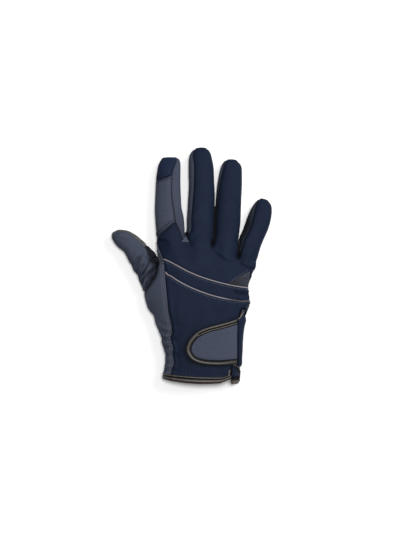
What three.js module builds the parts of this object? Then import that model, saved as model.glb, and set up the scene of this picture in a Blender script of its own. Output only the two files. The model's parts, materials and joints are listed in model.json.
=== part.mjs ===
// A riding glove for the right hand, lying on its palm with the fingers straight.
// Millimetres. +Z is up through the back of the hand, +Y runs to the fingertips and +X to the little finger.
// The origin lies on the resting plane under the middle of the palm.
//
// The glove is a hollow skin of sewn panels. One grid of sections and columns makes the whole skin,
// the panels are groups of its quads, and each panel is a solid wall that stops short of its seams.
import * as THREE from "three";

// Sizes of the hand, in millimetres
const REACH = 59; // from the origin up to the web beside the index finger
const DROP = 83.5; // from the origin down to the cuff's edge
const WRIST_WIDTH = 77;
const PALM_THICK = 22.5;
const THUMB_SEAM_SPREAD = 42; // length of the thumb's opening along the hand
const WEB_DEPTH = 3.2; // how far the back dips between the knuckles

// Cloth, seams and trim
const WALL = 1.3;
const SEAM_GAP = 0.3;
const PIPING_RADIUS = 0.95;
const WELT_RADIUS = 0.95;
const BINDING_WALL = 2.5;
const BINDING_RAISE = 0.7;
const VENT_GAP = 0.8;
const MOST_INSET = 2; // how far a panel's sharp corner may draw back from the seams' meeting point

// The closing strap and the trim that lies on the skin
const STRAP_ROOT_INSET = 1.6;
const STRAP_BRIDGE = 6.9;
const STRAP_LOW = -0.786; // the lower edge, as a share of DROP
const STRAP_LENGTH = 50;
const STRAP_WIDTH = 46;
const STRAP_THICK = 1.5;
const STRAP_LIFT = 1.3;
const STRAP_BINDING_WIDTH = 4.4;
const STRAP_BINDING_THICK = 2.1;
const ANCHOR_GAP = 0.4; // from the strap's root
const ANCHOR_THICK = 1.6;
const ANCHOR_LIFT = 0.65; // above the vent's binding
const INSERT_LENGTH = 17;
const INSERT_HEIGHT = 14.5;
const INSERT_EDGE = 2.2; // how far it stops short of the hand's right outline
const INSERT_THICK = 0.7;
const TRIM_LIFT = 0.35;

// How square the sections are: 2 is an ellipse
const PALM_SQUARE = 2.5;
const FINGER_SQUARE = 2.3;
const PALM_SEAM_DEG = 42; // the palm panel's seams, below the middle of a finger's side

const mix = (a, b, t) => a + (b - a) * t;
const radians = THREE.MathUtils.degToRad;
const signedPower = (v, e) => Math.sign(v) * Math.abs(v) ** e;
const table = (columns, ...rows) =>
  rows.map((row) => Object.fromEntries(columns.split(" ").map((name, i) => [name, row[i]])));

// Fingers from the index to the little finger. slot is the width that the finger takes on the
// knuckle line, as a share of its own width; foot is where its axis starts in that slot.
const FINGERS = table(
  "name length width thick lean slot foot footY",
  ["index", 83.6, 25.4, 15.6, 0, 1.07, 0.43, 1.0],
  ["middle", 96.0, 25.6, 15.8, 0, 1.113, 0.58, 0.958],
  ["ring", 90.8, 24.6, 15.4, 2.5, 1.057, 0.56, 0.847],
  ["little", 61.0, 22.4, 14.6, 15, 0.795, 0.56, 0.712],
);
const THUMB = { length: 57, width: 22, thick: 16.6, lean: -42 };

// Sections along a finger: the left and right outline points, each as a share of the length and
// of half the width, the thickness, and the angles of the back panel's two seams, in degrees.
const SECTION_COLUMNS = "alongL outL alongR outR thick seamL seamR";
const SECTIONS = {
  index: table(
    SECTION_COLUMNS,
    [0.01, -0.95, 0.15, 1.24, 1.04, 186, 53],
    [0.04, -0.94, 0.29, 1.16, 1.04, 186, 69],
    [0.18, -1.02, 0.39, 1.02, 1.03, 186, 68],
    [0.35, -1.08, 0.51, 0.97, 1.0, 186, 73],
    [0.51, -1.06, 0.63, 0.93, 0.98, 186, 75],
    [0.71, -1.0, 0.81, 0.93, 0.94, 186, 74],
    [0.82, -0.92, 0.89, 0.92, 0.87, 186, 64],
    [0.91, -0.8, 0.95, 0.88, 0.72, 186, 48],
    [0.98, -0.55, 0.99, 0.7, 0.48, 186, 26],
  ),
  middle: table(
    SECTION_COLUMNS,
    [0.13, -1.07, 0.11, 0.98, 1.03, 133, 8],
    [0.23, -1.04, 0.22, 1.02, 1.02, 133, 8],
    [0.35, -0.99, 0.35, 1.07, 1.01, 132, 8],
    [0.46, -0.95, 0.46, 1.11, 1.0, 130, 8],
    [0.58, -0.9, 0.58, 1.08, 0.98, 127, 8],
    [0.69, -0.91, 0.69, 1.05, 0.95, 124, 8],
    [0.8, -0.91, 0.8, 1.01, 0.88, 123, 8],
    [0.88, -0.89, 0.88, 0.9, 0.76, 130, 8],
    [0.94, -0.74, 0.94, 0.77, 0.6, 144, 8],
    [0.98, -0.48, 0.98, 0.54, 0.4, 158, 8],
  ),
  ring: table(
    SECTION_COLUMNS,
    [0.17, -1.12, 0.13, 0.89, 1.03, 150, 8],
    [0.3, -1.12, 0.28, 0.98, 1.02, 151, 8],
    [0.43, -1.1, 0.42, 0.99, 1.0, 151, 8],
    [0.55, -1.07, 0.55, 0.98, 0.99, 151, 8],
    [0.67, -1.02, 0.68, 0.99, 0.96, 149, 8],
    [0.78, -0.94, 0.78, 0.97, 0.9, 146, 8],
    [0.88, -0.81, 0.87, 0.95, 0.78, 143, 8],
    [0.95, -0.62, 0.93, 0.87, 0.62, 150, 8],
    [0.985, -0.38, 0.97, 0.64, 0.42, 160, 8],
  ),
  little: table(
    SECTION_COLUMNS,
    [0.22, -1.21, 0.15, 0.78, 1.05, 122, 8],
    [0.31, -1.19, 0.3, 0.86, 1.03, 120, 8],
    [0.43, -1.08, 0.44, 0.98, 1.0, 117, 8],
    [0.58, -1.03, 0.57, 1.06, 0.96, 118, 8],
    [0.72, -0.94, 0.73, 1.04, 0.88, 124, 8],
    [0.83, -0.79, 0.86, 0.9, 0.74, 136, 8],
    [0.91, -0.63, 0.94, 0.68, 0.58, 148, 8],
    [0.97, -0.42, 0.985, 0.36, 0.38, 160, 8],
  ),
};
// The thumb's root gathers: its thickness and outline rise and fall from section to section.
const THUMB_SECTIONS = table(
  "alongL outL alongR outR thick seamR",
  [-0.1, -1.9, 0.22, 1.15, 0.74, 60],
  [0.0, -1.69, 0.27, 1.14, 1.03, 56],
  [0.11, -1.58, 0.32, 1.12, 0.88, 53],
  [0.17, -1.38, 0.37, 1.11, 1.06, 48],
  [0.27, -1.34, 0.43, 1.1, 0.92, 38],
  [0.34, -1.16, 0.5, 1.07, 1.05, 32],
  [0.43, -1.08, 0.57, 1.02, 0.98, 32],
  [0.53, -0.98, 0.65, 0.97, 1.0, 33],
  [0.64, -0.94, 0.73, 0.87, 0.98, 33],
  [0.76, -0.96, 0.82, 0.7, 0.93, 32],
  [0.86, -0.92, 0.89, 0.44, 0.82, 30],
  [0.94, -0.81, 0.95, 0.12, 0.62, 26],
  [0.99, -0.64, 0.98, -0.12, 0.42, 22],
);

// The web line from the thumb's side to the little finger's. Heights are shares of REACH:
// where the back panel, the crest of the fork and the palm panel reach between two fingers.
const WEBS = table(
  "back crest palm",
  [0.966, 0.966, 0.966],
  [1.0, 1.127, 1.06],
  [0.915, 1.05, 0.97],
  [0.729, 0.94, 0.85],
  [0.644, 0.644, 0.644],
);
const LEFT_OF_KNUCKLES = 0.434; // share of the knuckle width that lies left of the origin

// Sections of the hand from the web line down to the cuff. Heights are shares of REACH above the
// origin and of DROP below it. x values are shares of half the hand's width there, which goes over
// from the knuckles' to the wrist's with the column wrist. Seams are those of the back panels.
const HAND = table(
  "yL yR bow xL xR seamL seamR wrist half rise",
  [0.966, 0.644, 0, -0.87, 1.14, -0.864, 1.132, 0, 0.88, 0.87],
  [0.9, 0.54, 0, -0.852, 1.1, -0.84, 1.085, 0, 0.92, 0.9],
  [0.8, 0.38, 0, -0.846, 1.018, -0.8, 0.997, 0, 0.96, 0.93],
  [0.712, 0.195, -4.9, -0.854, 0.961, -0.744, 0.945, 0, 0.99, 0.95],
  [0.542, -0.024, -7.8, -0.894, 1.0, -0.708, 0.975, 0, 1.01, 0.96],
  [0.373, -0.06, -8.6, -0.965, 0.997, -0.683, 0.953, 0, 1.02, 0.97],
  [0.186, -0.114, -9.2, -1.086, 0.975, -0.668, 0.92, 0.07, 1.03, 0.97],
  [0.0, -0.217, -8.9, -1.192, 0.945, -0.677, 0.885, 0.26, 1.03, 0.97],
  [-0.102, -0.319, -8.4, -1.165, 0.948, -0.684, 0.885, 0.5, 1.02, 0.96],
  [-0.205, -0.422, -7.8, -1.135, 0.98, -0.688, 0.9, 0.74, 0.99, 0.95],
  [-0.307, -0.524, -7.2, -1.105, 1.02, -0.719, 0.905, 0.93, 0.96, 0.94],
  [-0.41, -0.614, -6.6, -1.037, 1.034, -0.766, 0.888, 1, 0.94, 0.93],
  [-0.512, -0.699, -5.8, -0.998, 1.022, -0.7, 0.86, 1, 0.95, 0.93],
  [-0.614, -0.777, -4.9, -0.92, 1.02, -0.722, 0.84, 1, 0.92, 0.93],
  [-0.717, -0.843, -3.8, -0.912, 1.049, -0.683, 0.821, 1, 0.92, 0.93],
  [-0.815, -0.892, -2.6, -0.93, 1.039, -0.742, 0.805, 1, 0.9, 0.93],
  [-0.884, -0.92, -1.9, -0.951, 1.034, -0.753, 0.803, 1, 0.9, 0.93],
  [-0.951, -0.965, -3.8, -0.951, 1.01, -0.753, 0.78, 1, 0.91, 0.93],
);
const PIPING_ROWS = [3, 4];
const VENT_TOP = 6; // the row where the vent's slit begins
const HEM_ROW = HAND.length - 2; // the binding covers the last row
const THUMB_ROWS = [3, 7];

// The thumb's seam on the hand, row by row: the upper and the lower edge of the opening.
// u runs down the opening as a share of THUMB_SEAM_SPREAD. x values are millimetres from the
// hand's left side and z values are shares of PALM_THICK.
const THUMB_SEAM = table(
  "upperX upperU upperZ lowerX lowerU lowerZ",
  [-0.5, 0.0, 0.42, 5.5, 0.1, 0.12],
  [1.4, 0.2, 0.65, 14.0, 0.28, 0.03],
  [3.4, 0.42, 0.72, 19.0, 0.52, 0.0],
  [3.0, 0.63, 0.65, 20.0, 0.78, 0.0],
  [0.0, 0.84, 0.46, 13.0, 1.02, 0.03],
);
const THUMB_CROTCH_Y = 0.72; // share of REACH

// The strap's outline, from its root's upper corner round the tip to the lower one, as shares of its
// length from the root and of its width.
const STRAP_OUTLINE = table(
  "along across",
  [0.0, 1.0],
  [0.11, 0.96],
  [0.33, 0.895],
  [0.55, 0.835],
  [0.72, 0.765],
  [0.84, 0.685],
  [0.93, 0.58],
  [0.99, 0.46],
  [1.01, 0.34],
  [0.975, 0.225],
  [0.9, 0.125],
  [0.79, 0.065],
  [0.62, 0.025],
  [0.35, 0.01],
  [0.15, 0.025],
  [0.0, 0.035],
);
// The strap's root lies just inside the wrist's outline, on the little finger's side.
const STRAP_ROOT = { x: WRIST_WIDTH / 2 - STRAP_ROOT_INSET, yLow: STRAP_LOW * DROP };
const STRAP_BRIDGE_X = STRAP_ROOT.x - STRAP_BRIDGE; // from here to the root the strap spans the vent

// Derived places
const slotOf = (finger) => finger.width * finger.slot;
const KNUCKLE_WIDTH = FINGERS.reduce((sum, finger) => sum + slotOf(finger), 0);
const webX = [-LEFT_OF_KNUCKLES * KNUCKLE_WIDTH];
FINGERS.forEach((finger) => webX.push(webX.at(-1) + slotOf(finger)));
const heightOf = (share) => share * (share > 0 ? REACH : DROP);
const halfWidth = (row) => mix(KNUCKLE_WIDTH, WRIST_WIDTH, row.wrist) / 2;
const floored = (z) => Math.max(0, z);

// A point on a section whose outline runs from left to right, at an angle: 0 is right, 90 is up.
function sectionPoint(left, right, z, half, square, degrees) {
  const across = signedPower(Math.cos(radians(degrees)), 2 / square);
  const up = signedPower(Math.sin(radians(degrees)), 2 / square);
  return new THREE.Vector3(
    mix(left[0], right[0], (1 + across) / 2),
    mix(left[1], right[1], (1 + across) / 2),
    floored(z + half * up),
  );
}

// The skin's grid: points, and quads that know their panel
const points = [];
const quads = [];
const addPoint = (point) => points.push(point) - 1;
const addQuad = (panel, ...corners) => quads.push({ panel, corners });

// The hand is a tube with 36 columns: 0 to 16 across the back, 17 on the little finger's side,
// 18 to 34 back across the palm and 35 on the thumb's side.
const COLUMNS = 36;
const BACK_COLUMNS = 16;
const columnShare = [];
for (let column = 0; column <= BACK_COLUMNS; column++) {
  const finger = Math.min(3, Math.floor(column / 4));
  const x = mix(webX[finger], webX[finger + 1], column / 4 - finger);
  columnShare.push((x - webX[0]) / KNUCKLE_WIDTH);
}

// The outline and height of one row of the hand
function handRow(index) {
  const row = HAND[index];
  const half = halfWidth(row);
  const thick = (row.half * PALM_THICK) / 2;
  return {
    left: [row.xL * half, heightOf(row.yL)],
    right: [row.xR * half, heightOf(row.yR)],
    seamL: row.seamL * half,
    seamR: row.seamR * half,
    bow: row.bow,
    half: thick,
    z: (row.rise * PALM_THICK) / 2,
  };
}

const legWidth = (row) => (1 - columnShare[BACK_COLUMNS - 1]) * (row.seamR - row.seamL);

function surfaceHeight(row, x, up) {
  const middle = (row.left[0] + row.right[0]) / 2;
  const reach = (row.right[0] - row.left[0]) / 2;
  const off = Math.min(1, Math.abs(x - middle) / reach);
  return floored(row.z + up * row.half * (1 - off ** PALM_SQUARE) ** (1 / PALM_SQUARE));
}

function rowHeightAt(row, x, bow) {
  const t = (x - row.left[0]) / (row.right[0] - row.left[0]);
  return mix(row.left[1], row.right[1], t) + 4 * bow * t * (1 - t);
}

// The web line: the knuckles stand above the webs on the back, and the palm side mirrors that.
function webRow() {
  const row = handRow(0);
  const line = [];
  const place = (column, edge, up) => {
    const finger = Math.min(3, Math.floor(column / 4));
    const t = column / 4 - finger;
    const x = mix(webX[finger], webX[finger + 1], t);
    const y = REACH * mix(WEBS[finger][edge], WEBS[finger + 1][edge], t);
    const dip = column % BACK_COLUMNS === 0 ? 0 : WEB_DEPTH * Math.cos(Math.PI * t) ** 2;
    const room = edge === "palm" ? 3 : column % BACK_COLUMNS === 0 ? 0.3 : 1.5;
    const inner = Math.min(row.right[0] - room, Math.max(row.left[0] + room, x));
    return new THREE.Vector3(x, y, floored(surfaceHeight(row, inner, up) - up * dip));
  };
  for (let column = 0; column <= BACK_COLUMNS; column++) line.push(place(column, "back", 1));
  const side = row.z - 0.15 * row.half;
  line.push(new THREE.Vector3(row.right[0], row.right[1], side));
  for (let column = BACK_COLUMNS; column >= 0; column--) line.push(place(column, "palm", -1));
  line.push(new THREE.Vector3(row.left[0], row.left[1], side));
  return line;
}

const PALM_EDGE = 0.87; // where the palm's outer columns lie, as a share of half the width
function plainRow(index) {
  const row = handRow(index);
  const beside = index > PIPING_ROWS[1];
  const middle = (row.left[0] + row.right[0]) / 2;
  const reach = (row.right[0] - row.left[0]) / 2;
  const line = columnShare.map((share) => {
    const x = mix(row.seamL, row.seamR, share);
    return new THREE.Vector3(x, rowHeightAt(row, x, row.bow), surfaceHeight(row, x, 1));
  });
  const legX = Math.min(row.seamR + legWidth(row), row.right[0]);
  line.push(
    beside && legX < row.right[0] - 0.2
      ? new THREE.Vector3(legX, rowHeightAt(row, legX, row.bow), surfaceHeight(row, legX, 1))
      : new THREE.Vector3(row.right[0], row.right[1], row.z),
  );
  const start = beside ? 0.985 : PALM_EDGE;
  for (let column = BACK_COLUMNS; column >= 0; column--) {
    const x = middle + reach * mix(-PALM_EDGE, start, columnShare[column]);
    line.push(new THREE.Vector3(x, rowHeightAt(row, x, 0), surfaceHeight(row, x, -1)));
  }
  line.push(new THREE.Vector3(row.left[0], row.left[1], row.z));
  return line;
}

const grid = HAND.map((_, index) => (index === 0 ? webRow() : plainRow(index)));
// Between the web line and the upper piping the rows blend along each column.
for (const [index, share] of [
  [1, 0.28],
  [2, 0.62],
]) {
  grid[index].forEach((point, column) => {
    const above = grid[0][column];
    const below = grid[PIPING_ROWS[0]][column];
    point.y = mix(above.y, below.y, share);
    const offSide = column < BACK_COLUMNS || column > BACK_COLUMNS + 2;
    if (offSide) point.x = mix(point.x, mix(above.x, below.x, share), 0.5);
    const dip = grid[0][column].z - surfaceHeight(handRow(0), above.x, column <= BACK_COLUMNS ? 1 : -1);
    const dips = column % BACK_COLUMNS !== 0 && column <= BACK_COLUMNS + 18;
    if (dips) point.z = floored(point.z + dip * (1 - share) ** 2);
  });
}

// The thumb's opening: its upper edge is column 35 and its lower edge column 33.
const SEAM_UPPER_COLUMN = COLUMNS - 1;
const SEAM_LOWER_COLUMN = COLUMNS - 3;
THUMB_SEAM.forEach((edge, step) => {
  const line = grid[THUMB_ROWS[0] + step];
  const row = handRow(THUMB_ROWS[0] + step);
  const top = THUMB_CROTCH_Y * REACH;
  const upper = line[SEAM_UPPER_COLUMN];
  const lower = line[SEAM_LOWER_COLUMN];
  const between = line[SEAM_LOWER_COLUMN + 1];
  upper.x = row.left[0] + edge.upperX;
  upper.y = top - edge.upperU * THUMB_SEAM_SPREAD;
  upper.z = edge.upperZ * PALM_THICK;
  lower.x = row.left[0] + edge.lowerX;
  lower.y = top - edge.lowerU * THUMB_SEAM_SPREAD;
  lower.z = edge.lowerZ * PALM_THICK;
  between.lerpVectors(upper, lower, 0.35);
  between.z = mix(upper.z, lower.z, 0.55);
  // The palm's other columns close up towards the seam.
  const first = line[BACK_COLUMNS + 2];
  for (let column = BACK_COLUMNS + 3; column < SEAM_LOWER_COLUMN; column++) {
    const t = (column - BACK_COLUMNS - 2) / (SEAM_LOWER_COLUMN - BACK_COLUMNS - 2);
    const point = line[column];
    point.x = mix(first.x, lower.x, t);
    point.y = mix(rowHeightAt(row, point.x, 0), lower.y, t ** 3);
    point.z = surfaceHeight(row, point.x, -1);
  }
});

// The vent's slit: its left edge keeps the grid's own points and its right edge gets twins.
const hand = grid.map((line) => line.map(addPoint));
const twins = new Map();
for (let index = VENT_TOP + 1; index < HAND.length; index++) {
  const twin = grid[index][BACK_COLUMNS].clone();
  if (index > HEM_ROW) {
    twin.x += 2;
    twin.y = -DROP;
  }
  twins.set(index, addPoint(twin));
}
const twinOf = (index, column) =>
  column === BACK_COLUMNS && twins.has(index) ? twins.get(index) : hand[index][column % COLUMNS];

const inThumbOpening = (index, column) =>
  index >= THUMB_ROWS[0] &&
  index < THUMB_ROWS[1] &&
  column >= SEAM_LOWER_COLUMN &&
  column < SEAM_UPPER_COLUMN;

function handPanel(index, column) {
  const leg = column === BACK_COLUMNS - 1 || column === BACK_COLUMNS;
  if (index === HEM_ROW) return "cuff_binding";
  if (leg && index >= VENT_TOP - 1) return "cuff_binding";
  if (column < BACK_COLUMNS || (column === BACK_COLUMNS && index < VENT_TOP - 1)) {
    if (index < PIPING_ROWS[0]) return "back_finger_panel";
    return index < PIPING_ROWS[1] ? "back_band" : "back_wrist_panel";
  }
  const besideVent = column > BACK_COLUMNS && column < BACK_COLUMNS + 4 && index >= VENT_TOP - 1;
  return besideVent ? "side_panel" : "palm_panel";
}

for (let index = 0; index < HAND.length - 1; index++) {
  for (let column = 0; column < COLUMNS; column++) {
    if (inThumbOpening(index, column)) continue;
    addQuad(
      handPanel(index, column),
      twinOf(index + 1, column),
      hand[index + 1][(column + 1) % COLUMNS],
      hand[index][(column + 1) % COLUMNS],
      twinOf(index, column),
    );
  }
}

// A finger's rings have 12 points: 0 to 4 across the back, 5 on the right side,
// 6 to 10 across the palm side and 11 on the left side.
const RING_SIDES = 12;
function ringAngles(seamL, seamR) {
  const palmR = -PALM_SEAM_DEG;
  const palmL = PALM_SEAM_DEG - 180;
  const back = [0, 1, 2, 3, 4].map((step) => mix(seamL, seamR, step / 4));
  const palm = [0, 1, 2, 3, 4].map((step) => mix(palmR, palmL, step / 4));
  return [...back, (seamR + palmR) / 2, ...palm, (seamL + palmL + 360) / 2];
}

function addTube(base, sections, place, panelOf) {
  const rings = [base];
  for (const section of sections) {
    const left = place(section.alongL, section.outL);
    const right = place(section.alongR, section.outR);
    const angles = ringAngles(section.seamL, section.seamR);
    const ring = angles.map((angle) =>
      addPoint(sectionPoint(left, right, section.z, section.half, FINGER_SQUARE, angle)),
    );
    rings.push(ring);
  }
  for (let step = 0; step < rings.length - 1; step++) {
    for (let side = 0; side < RING_SIDES; side++) {
      const next = (side + 1) % RING_SIDES;
      const [ring, beyond] = [rings[step], rings[step + 1]];
      addQuad(panelOf(step, side), ring[side], ring[next], beyond[next], beyond[side]);
    }
  }
  // The tip is a cap of 4 by 2 quads, with its seam from side to side.
  const last = rings.at(-1);
  const tipSeam = [last[11]];
  for (const column of [1, 2, 3]) {
    const back = points[last[column]];
    const palm = points[last[10 - column]];
    const sides = new THREE.Vector3().lerpVectors(points[last[11]], points[last[5]], column / 4);
    const tip = place(1.0, mix(sections.at(-1).outL, sections.at(-1).outR, column / 4));
    const bulge = column === 2 ? 1 : 0.8;
    const middle = new THREE.Vector3().addVectors(back, palm).multiplyScalar(0.5).lerp(sides, 0.5);
    middle.x = mix(middle.x, tip[0], bulge);
    middle.y = mix(middle.y, tip[1], bulge);
    tipSeam.push(addPoint(middle));
  }
  tipSeam.push(last[5]);
  const end = rings.length - 1;
  for (let column = 0; column < 4; column++) {
    const next = column + 1;
    addQuad(panelOf(end, column), last[column], last[next], tipSeam[next], tipSeam[column]);
    addQuad(panelOf(end, 9 - column), tipSeam[column], tipSeam[next], last[10 - next], last[10 - column]);
  }
  return rings;
}

// The crests of the forks between the fingers
const CREST_SIDE = 0.8; // a crest lies this far to the little finger's side of its web
const crests = [1, 2, 3].map((web) => {
  const crest = new THREE.Vector3(webX[web] + CREST_SIDE, REACH * WEBS[web].crest, handRow(0).z * 0.95);
  return addPoint(crest);
});

const FORK_NAMES = ["fourchette_index_middle", "fourchette_middle_ring", "fourchette_ring_little"];
const INDEX_PATCH_SECTIONS = [2, 6]; // the patch runs from this section to that one

FINGERS.forEach((finger, number) => {
  const palmStart = BACK_COLUMNS + 2 + 4 * (3 - number);
  const base = [
    ...[0, 1, 2, 3, 4].map((step) => hand[0][4 * number + step]),
    number < 3 ? crests[number] : hand[0][BACK_COLUMNS + 1],
    ...[0, 1, 2, 3, 4].map((step) => hand[0][palmStart + step]),
    number > 0 ? crests[number - 1] : hand[0][COLUMNS - 1],
  ];
  const lean = radians(finger.lean);
  const footX = mix(webX[number], webX[number + 1], finger.foot);
  const footY = finger.footY * REACH;
  const place = (along, out) => [
    footX + along * finger.length * Math.sin(lean) + (out * finger.width * Math.cos(lean)) / 2,
    footY + along * finger.length * Math.cos(lean) - (out * finger.width * Math.sin(lean)) / 2,
  ];
  const sections = SECTIONS[finger.name].map((section) => {
    const half = (section.thick * finger.thick) / 2;
    const settle = Math.max(0, 1 - 2.2 * section.alongR);
    return { ...section, half, z: Math.max(half * 0.9, finger.thick * 0.47) + settle * 0.08 * PALM_THICK };
  });
  const panelOf = (step, side) => {
    if (side < 4) {
      if (number > 0 || step < INDEX_PATCH_SECTIONS[0]) return "back_finger_panel";
      return step < INDEX_PATCH_SECTIONS[1] ? "index_patch" : "index_tip";
    }
    if (side < 6 && number < 3) return FORK_NAMES[number];
    if (side === 4) return "back_finger_panel";
    if (side > 9 && number > 0) return FORK_NAMES[number - 1];
    return "palm_panel";
  };
  addTube(base, sections, place, panelOf);
});

// The thumb leaves the hand from the opening, its crotch side to the right.
const [first, last] = THUMB_ROWS;
const openingDown = (column) => [4, 3, 2, 1, 0].map((step) => hand[first + step][column]);
const thumbBase = [
  ...openingDown(SEAM_UPPER_COLUMN),
  hand[first][SEAM_LOWER_COLUMN + 1],
  ...openingDown(SEAM_LOWER_COLUMN).reverse(),
  hand[last][SEAM_LOWER_COLUMN + 1],
];
const THUMB_FOOT = { x: -0.29, y: 0.475, gap: 0.5 };
const thumbLean = radians(THUMB.lean);
const thumbFootX = handRow(THUMB_ROWS[0] + 2).left[0] + 2.4;
const thumbFootY = THUMB_FOOT.y * REACH;
const thumbPlace = (along, out) => [
  thumbFootX + along * THUMB.length * Math.sin(thumbLean) + (out * THUMB.width * Math.cos(thumbLean)) / 2,
  thumbFootY + along * THUMB.length * Math.cos(thumbLean) - (out * THUMB.width * Math.sin(thumbLean)) / 2,
];
const thumbSections = THUMB_SECTIONS.map((section) => ({
  ...section,
  seamL: 172,
  half: (section.thick * THUMB.thick) / 2,
  z: THUMB.thick * 0.49,
}));
const GUSSET_SECTIONS = 5;
const thumbRings = addTube(thumbBase, thumbSections, thumbPlace, (step, side) => {
  if (side === 4 || side === 5) return step < GUSSET_SECTIONS ? "thumb_gusset" : "thumb_front";
  return side < 4 || side > 9 ? "thumb_back" : "thumb_front";
});

// Normals of the skin. Twins share theirs, so that the vent's two edges stay in line.
const normals = points.map(() => new THREE.Vector3());
for (const { corners } of quads) {
  const [a, b, c, d] = corners.map((corner) => points[corner]);
  const face = new THREE.Vector3().crossVectors(
    new THREE.Vector3().subVectors(c, a),
    new THREE.Vector3().subVectors(d, b),
  );
  corners.forEach((corner) => normals[corner].add(face));
}
for (const [index, twin] of twins) {
  const shared = normals[twin].clone().add(normals[hand[index][BACK_COLUMNS]]);
  normals[twin].copy(shared);
  normals[hand[index][BACK_COLUMNS]].copy(shared);
}
normals.forEach((normal) => normal.normalize());

// Edges that carry piping keep room for it; other seams keep half the seam gap on each side.
const edgeKey = (a, b) => (a < b ? `${a},${b}` : `${b},${a}`);
const roomAt = new Map();
const pipingLines = PIPING_ROWS.map((index) => hand[index].slice(0, BACK_COLUMNS + 2));
const keepRoom = (line, room) =>
  line.slice(1).forEach((point, step) => roomAt.set(edgeKey(line[step], point), room));
for (const line of pipingLines) keepRoom(line, PIPING_RADIUS + SEAM_GAP);
const weltLine = thumbRings.slice(GUSSET_SECTIONS).map((ring) => ring[4]);
keepRoom(weltLine, WELT_RADIUS + SEAM_GAP);
for (let index = VENT_TOP; index < HEM_ROW + 1; index++) {
  roomAt.set(edgeKey(hand[index][BACK_COLUMNS], hand[index + 1][BACK_COLUMNS]), VENT_GAP / 2);
  roomAt.set(edgeKey(twinOf(index, BACK_COLUMNS), twinOf(index + 1, BACK_COLUMNS)), VENT_GAP / 2);
}
for (let column = 0; column < COLUMNS; column++) {
  const next = hand[HEM_ROW + 1][(column + 1) % COLUMNS];
  roomAt.set(edgeKey(twinOf(HEM_ROW + 1, column), next), 0);
}

// A closed solid from an open sheet of quads: the outer face, the inner face and the walls
// along the sheet's borders.
function sheetSolid(sheet, outer, inner) {
  const ids = [...new Set(sheet.flat())];
  const at = new Map(ids.map((id, order) => [id, order]));
  const positions = [...ids.map(outer), ...ids.map(inner)].flatMap((p) => p.toArray());
  const index = [];
  const borders = new Set();
  for (const [a, b, c, d] of sheet) {
    const [p, q, r, s] = [a, b, c, d].map((id) => at.get(id));
    const shift = ids.length;
    index.push(p, q, r, p, r, s, p + shift, r + shift, q + shift, p + shift, s + shift, r + shift);
    for (const [from, to] of [[a, b], [b, c], [c, d], [d, a]]) {
      if (!borders.delete(`${to},${from}`)) borders.add(`${from},${to}`);
    }
  }
  for (const border of borders) {
    const [fromId, toId] = border.split(",").map(Number);
    const [from, to] = [at.get(fromId), at.get(toId)];
    const [inFrom, inTo] = [from + ids.length, to + ids.length];
    // Both panels at a seam split its walls along the same diagonal.
    if (fromId < toId) index.push(from, inTo, to, from, inFrom, inTo);
    else index.push(from, inFrom, to, to, inFrom, inTo);
  }
  const geometry = new THREE.BufferGeometry();
  geometry.setAttribute("position", new THREE.Float32BufferAttribute(positions, 3));
  return geometry.setIndex(index);
}

// Each border point of a panel moves into the panel, by the room that its edges keep.
function insets(sheet) {
  const borders = new Map();
  for (const corners of sheet) {
    corners.forEach((from, step) => {
      const to = corners[(step + 1) % 4];
      const key = edgeKey(from, to);
      if (borders.has(key)) borders.delete(key);
      else borders.set(key, { from, to });
    });
  }
  const moves = new Map();
  for (const [key, { from, to }] of borders) {
    const room = roomAt.get(key) ?? SEAM_GAP / 2;
    const edge = new THREE.Vector3().subVectors(points[to], points[from]).normalize();
    for (const id of [from, to]) {
      const inward = new THREE.Vector3().crossVectors(normals[id], edge).normalize();
      if (!moves.has(id)) moves.set(id, []);
      moves.get(id).push({ inward, room });
    }
  }
  const result = new Map();
  for (const [id, list] of moves) {
    const [one, two] = list;
    const move = one.inward.clone().multiplyScalar(one.room);
    if (two) {
      // The point where both borders, each moved by its own room, meet
      const cosine = one.inward.dot(two.inward);
      const sine2 = Math.max(0.04, 1 - cosine * cosine);
      if (cosine > 0.97) move.add(two.inward.clone().multiplyScalar(two.room)).multiplyScalar(0.5);
      else {
        const s = (one.room - two.room * cosine) / sine2;
        const t = (two.room - one.room * cosine) / sine2;
        move.copy(one.inward).multiplyScalar(s).add(two.inward.clone().multiplyScalar(t));
      }
      move.clampLength(0, MOST_INSET);
    }
    result.set(id, move);
  }
  return result;
}

function panelSolid(panel, wall, raise) {
  const sheet = quads.filter((quad) => quad.panel === panel).map((quad) => quad.corners);
  const moves = insets(sheet);
  const face = (id, height) => {
    const point = points[id].clone().addScaledVector(normals[id], height);
    if (moves.has(id)) point.add(moves.get(id));
    return point;
  };
  const outer = (id) => {
    const point = face(id, raise);
    point.z = floored(point.z);
    return point;
  };
  return sheetSolid(sheet, outer, (id) => face(id, raise - wall));
}

// A cord with an even number of sides along a line of skin points
const CORD_SIDES = 8;
function cordSolid(line, radius, sink) {
  const path = new THREE.CatmullRomCurve3(
    line.map((id) => points[id].clone().addScaledVector(normals[id], -sink)),
  );
  const trim = (radius + SEAM_GAP) / path.getLength();
  const steps = 2 * line.length;
  const middle = [];
  for (let step = 0; step <= steps; step++) middle.push(path.getPointAt(mix(trim, 1 - trim, step / steps)));
  const circle = new THREE.Shape();
  for (let side = 0; side < CORD_SIDES; side++) {
    const turn = (2 * Math.PI * side) / CORD_SIDES;
    circle[side ? "lineTo" : "moveTo"](radius * Math.cos(turn), radius * Math.sin(turn));
  }
  circle.closePath();
  return new THREE.ExtrudeGeometry(circle, {
    steps,
    extrudePath: new THREE.CatmullRomCurve3(middle),
    curveSegments: 1,
  });
}

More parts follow.
